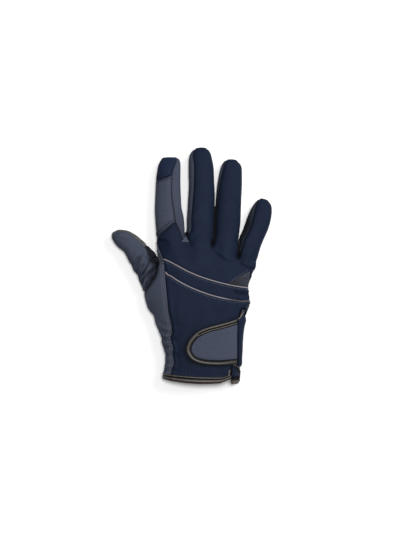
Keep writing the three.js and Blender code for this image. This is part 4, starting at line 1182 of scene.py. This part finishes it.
def sheet_piece(name, top, bottom, columns, material, slot, replaces=(), shades=1.0, flat_rim=False):
    """A closed sheet between two grids of points, each listed row by row."""
    wide = columns + 1
    last = len(top) - wide
    sheet = [
        (k, k + 1, k + wide + 1, k + wide) for row in range(0, last, wide) for k in range(row, row + columns)
    ]
    rim = [*range(columns), *range(columns, last, wide)]
    rim += [*range(last + columns, last, -1), *range(last, 0, -wide)]
    shift = len(top)
    polygons = sheet + [tuple(k + shift for k in reversed(quad)) for quad in sheet]
    polygons += [(n, k, k + shift, n + shift) for k, n in zip(rim, rim[1:] + rim[:1])]
    points = np.vstack([top, bottom])
    flat_from = 2 * len(sheet) if flat_rim else None
    piece(name, points, turned_out(points, polygons), [material], slot, replaces, 0, flat_from, shades)


def swept(rings):
    """A closed mesh along a path of rings, capped at both ends. Its polygons are listed strip by strip."""
    rings = np.asarray(rings)
    steps, sides = rings.shape[:2]
    points = np.vstack([rings.reshape(-1, 3), rings[0].mean(axis=0), rings[-1].mean(axis=0)])
    low, high = len(points) - 2, len(points) - 1
    ahead = [(s, (s + 1) % sides) for s in range(sides)]
    top = (steps - 1) * sides
    polygons = [(k + s, k + n, k + sides + n, k + sides + s) for k in range(0, top, sides) for s, n in ahead]
    for s, n in ahead:
        polygons += [(low, n, s), (high, top + s, top + n)]
    return points, turned_out(points, polygons)


def framed(path, normals, profile):
    """Rings of a profile (across, up) along a path, with up along the normals."""
    forward = tangents_of(path)
    across = unit(np.cross(forward, normals))
    up = unit(np.cross(across, forward))
    profile = np.asarray(profile, dtype=float)
    return path[:, None] + profile[None, :, :1] * across[:, None] + profile[None, :, 1:] * up[:, None]


def half_round(width, height, sink, sides=10):
    """A domed cross-section with a flat foot that is sunk below the surface."""
    angles = np.linspace(0, math.pi, sides)
    dome = [(width / 2 * math.cos(a), height * math.sin(a) ** 0.8) for a in angles]
    return [*dome, (-width / 2, -sink), (width / 2, -sink)]


class Joined:
    """Several closed meshes gathered into one."""

    def __init__(self):
        self.points, self.polygons, self.which, self.count = [], [], [], 0

    def add(self, points, polygons, which=0):
        self.points.append(np.asarray(points))
        self.polygons += [tuple(i + self.count for i in polygon) for polygon in polygons]
        self.which += np.broadcast_to(which, len(polygons)).tolist()
        self.count += len(points)

    def roll(self, line, normals, width, height, which=0, sink=0.5):
        """Adds a half-round roll along a line on a surface."""
        self.add(*swept(framed(line, normals, half_round(width, height, sink))), which)

    def piece(self, name, materials, slot, replaces=(), shades=1.0):
        points = np.vstack(self.points)
        piece(name, points, self.polygons, materials, slot, replaces, self.which, shades=shades)


CORD_STEP, PLAN_STEP, SEAM_STEP = 0.5, 0.4, 0.6  # how far apart the points of rolls and rows lie
UNDERSIDE = -0.3  # below this slope nothing is stitched
STITCH_STEP, STITCH_ROOT = 0.25, 0.15
GRAIN_SIDES = 6
GRAIN_RINGS = ((-0.8, 0.6), (0.0, 1.0), (0.8, 0.6))


def add_stitches(joined, line, normals, length, gap, width, rise=0.12):
    """A row of short threads along a line on a surface, each one thickest in its middle."""
    path = resample(np.hstack([line, normals]), STITCH_STEP)
    line, normals = path[:, :3], unit(path[:, 3:])
    forward = tangents_of(line)
    pitch = max(1, int(round((length + gap) / STITCH_STEP)))
    for k in range(pitch // 2, len(line), pitch):
        centre, up, ahead = line[k], normals[k], forward[k]
        if up[2] < UNDERSIDE:
            continue
        side = unit(np.cross(ahead, up))
        root = up * (rise - STITCH_ROOT)
        points = [centre - ahead * length / 2 + root]
        for t, girth in GRAIN_RINGS:
            for s in range(GRAIN_SIDES):
                a = 2 * math.pi * s / GRAIN_SIDES
                out = side * (math.cos(a) * girth * width / 2) + up * (rise + math.sin(a) * girth * width / 2)
                points.append(centre + ahead * (t * length / 2) + out)
        points.append(centre + ahead * length / 2 + root)
        polygons = []
        for s in range(GRAIN_SIDES):
            n = (s + 1) % GRAIN_SIDES
            polygons.append((0, 1 + n, 1 + s))
            for a in (1, 1 + GRAIN_SIDES):
                polygons.append((a + s, a + n, a + GRAIN_SIDES + n, a + GRAIN_SIDES + s))
            polygons.append((1 + 2 * GRAIN_SIDES + s, 1 + 2 * GRAIN_SIDES + n, len(points) - 1))
        joined.add(points, turned_out(points, polygons))


def sew(joined, line, side, length, gap, width, rise=0.12):
    """A row of stitches on the skin, beside a line: positive is to the right of its direction."""
    line = resample(line, SEAM_STEP)
    _, normals = on_skin(line)
    line = line + unit(np.cross(tangents_of(line), normals)) * side
    add_stitches(joined, *on_skin(line), length, gap, width, rise)


def plan_line(spots, fine=8):
    """A smooth line over places in plan, laid on the skin, and the skin's direction along it."""
    line = spline(spots, fine)
    heights = [skin_height(*spot) for spot in line]
    lowest = min(height for height in heights if height is not None)
    heights = [lowest if height is None else height for height in heights]
    return on_skin(resample(np.column_stack([line, heights]), PLAN_STEP))


# ---------------------------------------------------------------- the panels of cloth
for name, panel, material, slot in (
    ("back_of_fingers_cloth", "back_finger_panel", "navy_softshell", "softshell_navy"),
    ("band_cloth", "back_band", "navy_softshell", "softshell_navy"),
    ("back_of_wrist_cloth", "back_wrist_panel", "navy_softshell", "softshell_navy"),
    ("side_cloth", "side_panel", "navy_softshell", "softshell_navy"),
    ("vent_facing_cloth", "vent_facing", "navy_softshell", "softshell_navy"),
    ("index_tip_cloth", "index_tip", "navy_softshell", "softshell_navy"),
    # the gusset is navy softshell, darkened with painted shade
    ("thumb_gusset_cloth", "thumb_gusset", "dark_gusset", "softshell_navy"),
    ("palm_suede", "palm_panel", "blue_grey_suede", "suede_blue_grey"),
    ("index_patch_suede", "index_patch", "blue_grey_suede", "suede_blue_grey"),
    ("thumb_back_suede", "thumb_back", "blue_grey_suede", "suede_blue_grey"),
    ("thumb_front_suede", "thumb_front", "blue_grey_suede", "suede_blue_grey"),
    *((fork + "_suede", fork, "blue_grey_suede", "suede_blue_grey") for fork in FORKS),
):
    shell_piece(name, panel, material, slot, [] if panel == "vent_facing" else [panel])

# ---------------------------------------------------------------- piping and welt
# The piping is in shade from a place on its way to the little finger's side.
PIPING_COLUMNS = (0.15, 16.85)
PIPING_WIDTH, PIPING_HEIGHT, PIPING_SINK = 1.25, 1.1, 0.15
PIPING_SHADE, PIPING_SHADE_RUN = 0.7, 9.0
for name, row, shade_from in (("piping_upper", PIPING_ROWS[0], 48.0), ("piping_lower", PIPING_ROWS[1], 24.0)):
    line = resample(hand_patch.line((row, row), PIPING_COLUMNS, 140), CORD_STEP)
    normals = on_skin(line)[1]
    normals = unit(sum(np.roll(normals, k, axis=0) for k in (-1, 0, 1)))
    points, polygons = swept(
        framed(line - normals * PIPING_SINK, normals, half_round(PIPING_WIDTH, PIPING_HEIGHT, 0.7))
    )
    shades = 1 - PIPING_SHADE * ramp(points[:, 0], shade_from, shade_from + PIPING_SHADE_RUN)
    piece(name + "_cord", points, polygons, ["taupe_piping"], "piping_taupe", [name], shades=shades)

# The welt is broad along the thumb's inner edge, and a thin roll turns on round its tip.
WELT_COLUMN = 4.12
WELT_WIDTH, WELT_HEIGHT = 3.4, 0.8
WELT_END_WIDTH, WELT_END_HEIGHT = 2.0, 0.35
WELT_END = [(-79.0, 68.6), (-83.0, 68.4), (-86.0, 66.8), (-87.4, 64.0), (-87.6, 61.0)]
welt_rows = (GUSSET_SECTIONS + 0.2, len(THUMB_SECTIONS) - 0.1)
welt_line = resample(thumb_patch.line(welt_rows, (WELT_COLUMN, WELT_COLUMN), 60), CORD_STEP)
welt = Joined()
welt.roll(welt_line, on_skin(welt_line)[1], WELT_WIDTH, WELT_HEIGHT, sink=0.8)
welt.roll(*plan_line(WELT_END), WELT_END_WIDTH, WELT_END_HEIGHT)
welt.piece("thumb_welt_cord", ["olive_welt"], "binding_olive_grey", ["thumb_welt"])

# ---------------------------------------------------------------- cuff and vent binding
# The bindings' colours are places in this list, in the profiles as bare numbers: 0 is olive grey,
# 1 taupe, 2 black, 3 brown and 4 tan. The black is partly the bindings' black edging and partly painted
# shade in their grooves and gaps and along their outer walls.
BINDING_MATERIALS = ["olive_grey_binding", "taupe_binding", "black_groove", "brown_edge", "tan_end"]
OLIVE, TAUPE, BLACK_AND_SHADE, TAN = 0, 1, 2, 4
# Across the hem, from its upper edge to the glove's edge: a share of the row, the height and the colour
HEM_PROFILE = [
    (0.0, 0.0, 0), (0.02, 0.6, 0), (0.08, 0.95, 0), (0.16, 0.9, 0), (0.22, 0.5, 2), (0.27, 0.2, 2),
    (0.36, 0.12, 2), (0.44, 0.2, 2), (0.48, 0.6, 1), (0.54, 1.05, 1), (0.61, 1.25, 1), (0.68, 1.2, 1),
    (0.74, 1.0, 3), (0.82, 0.8, 3), (0.9, 0.6, 3), (1.0, 0.1, 3), (1.0, -1.0, 3), (0.95, -1.5, 3),
    (0.6, -1.5, 3), (0.0, -1.3, 3),
]
HEM_STEPS = 300
FLAP_COLUMNS = 2.5
around = np.linspace(BACK + 0.02, BACK + COLUMNS - 0.02, HEM_STEPS)[:, None]
share, height, colour = np.array(HEM_PROFILE).T
direction = unit(hand_patch.at(outer_normals, HEM_ROW + share, around))
rings = hand_patch.at(outer, HEM_ROW + share, around) + direction * height[:, None]
rings[..., 2] = np.maximum(0.0, rings[..., 2])
points, polygons = swept(rings)
on_flap = np.where(share > 0.5, TAN, BLACK_AND_SHADE)
which = np.where(around < BACK + FLAP_COLUMNS, on_flap, colour)[:-1].ravel()
binding = Joined()
binding.add(points, polygons, [*which, *[TAUPE] * (len(polygons) - len(which))])

RING = [(39.0, -17.8), (39.6, -13.2), (41.0, -9.9), (43.2, -8.6), (45.2, -9.8), (45.5, -12.6), (44.4, -15.6)]
RING_TAIL = [(37.4, -19.9), (39.7, -17.5), (41.3, -15.0), (42.2, -12.9)]
FLAP_EDGE = [(39.6, -72.0), (39.7, -76.0), (39.0, -80.5)]
# Rolls in plan, the small ring at the vent's top, its tail and the flap's edge: how wide, how high and
# in which colour
ROLLS = ((RING, 1.6, 1.3, BLACK_AND_SHADE), (RING_TAIL, 1.7, 1.5, OLIVE), (FLAP_EDGE, 1.6, 0.8, BLACK_AND_SHADE))
for spots, width, height, colour in ROLLS:
    binding.roll(*plan_line(spots), width, height, colour)
# The vent's two edges: from which row, how far off the seam, how wide, how high and in which colour
LEGS = ((13.9, 0.95, 1.9, 1.5, OLIVE), (VENT_TOP + 2.2, 0.15, 1.9, 1.0, BLACK_AND_SHADE))
for start, off, width, height, colour in LEGS:
    leg_line = resample(hand_patch.line((start, HEM_ROW + 0.2), (BACK - off, BACK - off), 90), CORD_STEP)
    binding.roll(leg_line, on_skin(leg_line)[1], width, height, colour)
# The hem is darker than the vent's edges, and painted shade darkens it most on the thumb's side, away from
# the light.
HEM_TOP_Y = -72.0
binding_x, binding_y, _ = np.vstack(binding.points).T
HEM_SHADE_RIGHT, HEM_SHADE_LEFT = 0.85, 0.6
hem_shade = mix(HEM_SHADE_RIGHT, HEM_SHADE_LEFT, ramp(binding_x, 10.0, -20.0))
hem_shades = np.where(binding_y < HEM_TOP_Y, hem_shade, 1.0)
binding.piece(
    "cuff_and_vent_binding", BINDING_MATERIALS, "binding_olive_grey", ["cuff_binding"], shades=hem_shades
)

# ---------------------------------------------------------------- strap
# The strap lies on an even surface that is fitted to the back of the wrist.
samples = [
    (px, py, skin_height(px, py))
    for px in np.arange(-16.0, STRAP_BRIDGE_X + 0.1, 2.0)
    for py in np.arange(STRAP_ROOT_Y - 3, STRAP_ROOT_Y + STRAP_WIDTH + 4, 3.0)
]
samples = np.array([sample for sample in samples if sample[2] is not None])
POWERS = [(i, j) for i in range(5) for j in range(3)]
CENTRE_X, CENTRE_Y, SPAN = 10.0, -42.0, 30.0


def powers_of(px, py):
    u, v = (px - CENTRE_X) / SPAN, (py - CENTRE_Y) / SPAN
    return np.stack([u**i * v**j for i, j in POWERS], axis=-1)


fit = np.linalg.lstsq(powers_of(samples[:, 0], samples[:, 1]), samples[:, 2], rcond=None)[0]
BRIDGE_FALL, BRIDGE_CURVE = 0.42, 0.03
FIT_CLEAR = 0.35  # the strap lies on the highest of the cloth's unevenness


def strap_seat(px, py):
    inner = np.minimum(px, STRAP_BRIDGE_X)
    beyond = np.maximum(0, px - STRAP_BRIDGE_X)
    return powers_of(inner, py) @ fit - BRIDGE_FALL * beyond - BRIDGE_CURVE * beyond**2 + FIT_CLEAR


def seated(plan, height):
    return np.column_stack([plan, strap_seat(plan[:, 0], plan[:, 1]) + STRAP_LIFT + height])


run = tangents_of(outline)
inward = np.stack([-run[:, 1], run[:, 0]], axis=1)
inward[0], inward[-1] = (0, -1), (0, 1)

# Across the strap's binding, from its outer edge inwards: distance, height and colour. On its upper
# run the binding has two lines, and round the tip and below one broad line.
TWO_LINES = [
    (0.0, 0.0, 2), (0.0, 0.9, 0), (0.2, 1.6, 0), (0.65, 2.15, 0), (1.2, 2.15, 0), (1.65, 1.75, 2),
    (1.9, 1.1, 2), (2.2, 0.65, 2), (2.9, 0.6, 2), (3.1, 0.95, 0), (3.25, 1.45, 0), (3.6, 1.7, 0),
    (3.95, 1.45, 2), (4.2, 0.9, 2), (4.45, 0.7, 2), (4.85, 0.65, 2), (4.85, 0.0, 2),
]
ONE_LINE = [
    (0.0, 0.0, 2), (0.0, 0.9, 0), (0.2, 1.5, 0), (0.6, 2.0, 0), (1.1, 2.15, 0), (1.6, 2.2, 0),
    (2.0, 2.2, 0), (2.4, 2.1, 0), (2.8, 1.95, 0), (3.1, 1.75, 0), (3.35, 1.45, 0), (3.55, 1.1, 2),
    (3.75, 0.85, 2), (3.95, 0.7, 2), (4.3, 0.65, 2), (4.85, 0.65, 2), (4.85, 0.0, 2),
]
GROOVE = (2.55, 4.1)  # how far in the stitched groove lies on the upper run and elsewhere
upper_run = outline[:, 1] > outline[np.argmin(outline[:, 0]), 1]
one_line = np.where(upper_run, ramp(outline[:, 0], 1.0, -6.0), 1.0)
blend = one_line[:, None]
(two_in, two_high, two_colour), (one_in, one_high, one_colour) = np.array(TWO_LINES).T, np.array(ONE_LINE).T
rings = [
    seated(outline + inward * across[:, None], high)
    for across, high in zip(mix(two_in, one_in, blend).T, mix(two_high, one_high, blend).T)
]
points, polygons = swept(np.stack(rings, axis=1))
which = np.where(blend > 0.5, one_colour, two_colour)[:-1].ravel()
strap = Joined()
strap.add(points, polygons, [*which, *[BLACK_AND_SHADE] * (len(polygons) - len(which))])
# The binding's tail hangs from the strap's root to the flap.
TAIL = [(32.5, -64.6), (35.6, -65.9), (38.2, -68.4), (39.8, -72.5)]
TAIL_LIFTS, TAIL_LOWEST = (2.2, 1.2), 5.0
tail = spline(TAIL, 8)
tail_z = strap_seat(*tail.T) + np.linspace(*TAIL_LIFTS, len(tail))
tail_line = resample(np.column_stack([tail, np.maximum(tail_z, TAIL_LOWEST)]), CORD_STEP)
strap.roll(tail_line, np.tile(unit(np.array([0.5, 0.0, 1.0])), (len(tail_line), 1)), 1.6, 1.3, sink=1.2)
# The broad line of the binding is darker than the two lines, and painted shade makes it darkest below, on the
# strap's lower run.
LINE_SHADE, BROAD_DARKER, LOWER_DARKER = 0.84, 0.47, 0.45
strap_points = np.vstack(strap.points)
lower_run = ramp(strap_points[:, 1], STRAP_ROOT_Y + 14.0, STRAP_ROOT_Y + 6.0)
broad = np.full(len(strap_points), 0.5)
broad[: rings[0].shape[0] * len(ONE_LINE)] = np.repeat(one_line, len(ONE_LINE))
strap.piece(
    "strap_edge_binding",
    BINDING_MATERIALS[:3],
    "binding_olive_grey",
    ["strap_binding"],
    shades=(LINE_SHADE - BROAD_DARKER * broad) * (1 - LOWER_DARKER * lower_run),
)

# The grey field spans the binding's inner edge, from its upper run to its lower one.
FIELD_INSET, FIELD_RUNGS = 4.9, 28
FIELD_HEIGHT, FIELD_CROWN, CROWN_SPREAD = 1.25, 0.55, 1.6
edge = outline + inward * FIELD_INSET
tip = len(edge) // 2
runs = [resample(edge[: tip + 1], 1.0), resample(edge[tip:][::-1], 1.0)]
size = min(len(runs[0]), len(runs[1]), tip, len(edge) - tip - 1)
lengths = [np.linalg.norm(np.diff(line, axis=0), axis=1).sum() for line in runs]
runs = [resample(line, length / size)[: size + 1] for line, length in zip(runs, lengths)]
size = min(len(runs[0]), len(runs[1])) - 1
upper, lower = runs[0][:size], runs[1][:size]
rungs = np.linspace(0, 1, FIELD_RUNGS + 1)
plan = (upper[:, None] * (1 - rungs)[None, :, None] + lower[:, None] * rungs[None, :, None]).reshape(-1, 2)
from_edge = np.linalg.norm(upper - lower, axis=1)[:, None] * np.minimum(rungs, 1 - rungs)
crown = FIELD_HEIGHT + FIELD_CROWN * (1 - bell(from_edge, CROWN_SPREAD))
sheet_piece(
    "strap_field_suede",
    seated(plan, crown.ravel()),
    seated(plan, 0.0),
    FIELD_RUNGS,
    "blue_grey_suede",
    "suede_blue_grey",
    ["strap_field"],
    flat_rim=True,
)

# ---------------------------------------------------------------- the strip over the strap's root
# It runs down the little finger's side in rings across the hand's rows, and tapers at both ends.
ANCHOR_ROWS = (6.9, 13.4)
ANCHOR_TAPER = 0.55
ANCHOR_LIFT, ANCHOR_THICK, ANCHOR_GAP, ANCHOR_SWELL = 1.35, 1.6, 0.4, 0.45
ANCHOR_END_DEG = -12
ANCHOR_RINGS, ANCHOR_POINTS = 60, 14
rings = []
for at in np.linspace(*ANCHOR_ROWS, ANCHOR_RINGS):
    low = min(len(HAND) - 2, int(at))
    row = row_from({key: mix(HAND[low][key], HAND[low + 1][key], at - low) for key in HAND[0]})
    from_end = min(at - ANCHOR_ROWS[0], ANCHOR_ROWS[1] - at)
    full = min(1.0, 0.15 + from_end / ANCHOR_TAPER)
    middle, reach = middle_and_reach(row)
    share = min(0.999, (STRAP_ROOT_X + ANCHOR_GAP - middle) / reach)
    start = math.degrees(math.acos(share ** (PALM_SQUARE / 2)))
    rise = (ANCHOR_LIFT + ANCHOR_THICK - 0.5) * math.sqrt(full)
    over, under = [], []
    for t in np.linspace(0, 1, ANCHOR_POINTS):
        angle = mix(start, ANCHOR_END_DEG, t)
        here, near = (
            section_point(row["left"], row["right"], row["z"], row["half"], PALM_SQUARE, degrees)
            for degrees in (angle, angle + 2)
        )
        out = unit(np.array([near[2] - here[2], 0, here[0] - near[0]]))
        here[1] = row["right"][1]
        swell = ANCHOR_SWELL * math.sin(math.pi * t) ** 0.6
        over.append(here + out * (rise + swell * full))
        under.append(here + out * max(0.0, rise - ANCHOR_THICK * full - 0.15))
    rings.append(over + under[::-1])
piece("strap_root_cover", *swept(rings), ["navy_softshell"], "softshell_navy", ["strap_anchor"])


# ---------------------------------------------------------------- satin insert and pale web end
def fan(foot, head, up):
    """Places in plan on lines that run from each foot to its head."""
    return mix(foot[:, None], head[:, None], up[None, :, None]).reshape(-1, 2)


# The wedge's lower and upper edges, from its point to the little finger's side
INSERT_FOOT = np.array([(29.0, 14.6), (47.6, 11.9)])
INSERT_HEAD = np.array([(29.0, 15.0), (49.6, 28.2)])
FOOT_BOW, HEAD_CURVE = 0.3, 0.72
INSERT_LINES, INSERT_STEPS = 22, 12
INSERT_LIFT, INSERT_SWELL, INSERT_SINK = 0.35, 0.35, 0.2
# The satin's colour runs from painted shade at its point to a painted highlight at the little finger's side,
# which also stands in for its pale print.
INSERT_SHADES = (0.3, 1.5)  # at its point and at the little finger's side
SEEK_Z = 24.0  # from this height the nearest cloth is looked for
along = np.linspace(0, 1, INSERT_LINES + 1)[:, None]
foot = mix(*INSERT_FOOT, along) + (0, FOOT_BOW) * np.sin(math.pi * along)
head = mix(*INSERT_HEAD, np.hstack([along, along**HEAD_CURVE]))
up = np.linspace(0, 1, INSERT_STEPS + 1)
plan = fan(foot, head, up)
nearest, normals = on_skin(np.column_stack([plan, np.full(len(plan), SEEK_Z)]))
heights = [skin_height(*spot) for spot in plan]
seats = [near if high is None else (*spot, high) for spot, high, near in zip(plan, heights, nearest)]
seats = np.array(seats)
swell = INSERT_LIFT + INSERT_SWELL * np.minimum(1, 6 * np.minimum(up, 1 - up))
top = seats + normals * np.tile(swell, len(foot))[:, None]
bottom = seats - normals * INSERT_SINK
shades = mix(*INSERT_SHADES, ramp(np.vstack([top, bottom])[:, 0], 29.0, 49.0))
sheet_piece(
    "side_insert_satin", top, bottom, INSERT_STEPS, "grey_satin", "satin_grey", ["side_insert"], shades=shades
)

# The pale end of the strip between the index and middle fingers is turned over on the back.
WEB_FOOT = np.array([(-18.4, 57.4), (-10.8, 57.0)])
WEB_PEAK, WEB_BLUNT = (-14.2, 63.0), 0.96
WEB_LINES, WEB_STEPS = 12, 8
WEB_LIFT, WEB_SINK, WEB_SHADE = 0.45, 0.3, 1.2
BESIDE_WEB_Z = 12.0
foot = mix(*WEB_FOOT, np.linspace(0, 1, WEB_LINES + 1)[:, None])
peak = np.full_like(foot, WEB_PEAK)
plan = fan(foot, peak, WEB_BLUNT * np.linspace(0, 1, WEB_STEPS + 1))
heights = [skin_height(*spot) for spot in plan]
seats = np.column_stack([plan, [BESIDE_WEB_Z if high is None else high for high in heights]])
top, bottom = seats + (0, 0, WEB_LIFT), seats - (0, 0, WEB_SINK)
sheet_piece("web_end_suede", top, bottom, WEB_STEPS, "blue_grey_suede", "suede_blue_grey", shades=WEB_SHADE)

# ---------------------------------------------------------------- stitches
# Rows along seams: on which side and how far off, then each stitch's length, gap and width
grey_rows, dark_rows, dim_rows, piping_rows, black_rows = (Joined() for _ in range(5))
for row in PIPING_ROWS:
    sew(piping_rows, hand_patch.line((row, row), (0.3, 16.4), 120), 2.1, 1.0, 1.8, 0.45, 0.15)
seam_left = hand_patch.line((1.0, HEM_ROW), (0.02, 0.02), 160)
for number, side in enumerate((1.2, 2.9, 4.5)):
    sew(grey_rows, seam_left[number:], side, 1.1, 1.9, 0.5)
for number, side in enumerate((2.0, 3.7)):
    sew(dark_rows, seam_left[number + 1 :], side, 1.1, 1.9, 0.7)
for place, sides in ((PATCH_SECTIONS[1], (1.0, 2.6)), (PATCH_SECTIONS[0], (-1.0, -2.6, -4.0))):
    patch_edge = index_patch.line((place, place), (0.3, 3.9), 40)
    for number, side in enumerate(sides):
        sew(black_rows, patch_edge[number:], side, 1.2, 1.2, 1.1, 0.2)
sew(black_rows, index_patch.line((0.2, 4.0), (4.0, 4.0), 50), 1.0, 0.9, 1.3, 0.5)
sew(dim_rows, thumb_patch.line((0.3, GUSSET_SECTIONS), (4.0, 4.0), 40), 1.1, 1.0, 1.0, 0.4)
sew(dim_rows, little_patch.line((0.3, 6.5), (0.0, 0.0), 60), -1.1, 0.9, 1.0, 0.4)
EYE_X, EYE_Y, EYE_RADIUS = 43.1, -11.6, 1.1  # a round of stitches inside the small ring
turn = np.linspace(0, 2 * math.pi, 16)
eye = np.column_stack([EYE_X + EYE_RADIUS * np.cos(turn), EYE_Y + EYE_RADIUS * np.sin(turn)])
ring_line = plan_line(eye, 3)
add_stitches(grey_rows, *ring_line, 0.8, 0.5, 0.6, 0.4)
INSERT_SEAM, INSERT_SEAM_Z = [(29.0, 16.2), (34.0, 20.6), (40.0, 24.6), (47.5, 28.6)], 18.0
insert_edge = spline(INSERT_SEAM, 10)
insert_line = on_skin(np.column_stack([insert_edge, np.full(len(insert_edge), INSERT_SEAM_Z)]))
add_stitches(grey_rows, *insert_line, 0.8, 0.9, 0.4)
groove_line = seated(outline + inward * mix(*GROOVE, one_line)[:, None], 0.8)
add_stitches(dark_rows, groove_line, np.tile([0.0, 0.0, 1.0], (len(outline), 1)), 1.9, 0.7, 0.6)
HEM_STITCHES_AT, HEM_STITCHES_UP = HEM_ROW + 0.42, 0.1
around = np.linspace(BACK + 0.1, BACK + COLUMNS - 0.1, 400)
hem_normals = unit(hand_patch.at(outer_normals, HEM_STITCHES_AT, around))
hem_line = hand_patch.at(outer, HEM_STITCHES_AT, around) + hem_normals * HEM_STITCHES_UP
add_stitches(dark_rows, hem_line, hem_normals, 1.9, 0.7, 0.6)
grey_rows.piece("grey_stitches", ["grey_thread"], "softshell_navy")
dim_rows.piece("dim_stitches", ["dim_thread"], "softshell_navy")
piping_rows.piece("piping_stitches", ["grey_thread"], "softshell_navy")
black_rows.piece("patch_stitches", ["black_thread"], "suede_blue_grey")
dark_rows.piece("dark_stitches", ["dark_thread"], "binding_olive_grey")

# ---------------------------------------------------------------- floor, light and camera
FLOOR, FLOOR_Z = 3.0, -0.0002
floor_mesh = bpy.data.meshes.new("floor")
floor_corners = [(u * FLOOR, v * FLOOR, FLOOR_Z) for u, v in ((-1, -1), (1, -1), (1, 1), (-1, 1))]
floor_mesh.from_pydata(floor_corners, [], [(0, 1, 2, 3)])
floor_material, floor_tree, floor_shader = new_material("pale_floor")
wire(floor_tree, floor_shader, {"Base Color": (0.9, 0.9, 0.9, 1), "Roughness": 0.9})
floor_mesh.materials.append(floor_material)
floor = bpy.data.objects.new("floor", floor_mesh)
bpy.context.scene.collection.objects.link(floor)

world = bpy.data.worlds.new("studio")
world.use_nodes = True
wire(world.node_tree, world.node_tree.nodes["Background"], {"Color": (1, 1, 1, 1), "Strength": 0.22})
bpy.context.scene.world = world


def area_light(name, place, size, power):
    """A round light that shines on the middle of the frame."""
    light = bpy.data.lights.new(name, "AREA")
    light.shape = "DISK"
    light.size = size
    light.energy = power
    holder = bpy.data.objects.new(name, light)
    holder.location = place
    holder.rotation_euler = (-Vector(place)).to_track_quat("-Z", "Y").to_euler()
    bpy.context.scene.collection.objects.link(holder)


area_light("top_light", (0.1, 0.25, 1.75), 0.6, 27)
area_light("key_light", (1.15, 0.75, 1.0), 1.0, 17)

# The camera looks straight down on the glove and frames a height of 533 mm at the glove's level.
FRAME_HEIGHT, FRAME_Y = 0.533, 0.0328
SENSOR, LENS = 36.0, 100.0
VIEW_Z = 0.010
camera_data = bpy.data.cameras.new("camera")
camera_data.lens = LENS
camera_data.sensor_width = SENSOR
camera_data.sensor_fit = "AUTO"
camera = bpy.data.objects.new("camera", camera_data)
camera.location = (0.0, FRAME_Y, VIEW_Z + FRAME_HEIGHT * LENS / SENSOR)
bpy.context.scene.collection.objects.link(camera)
bpy.context.scene.camera = camera
bpy.context.scene.view_settings.view_transform = "Standard"
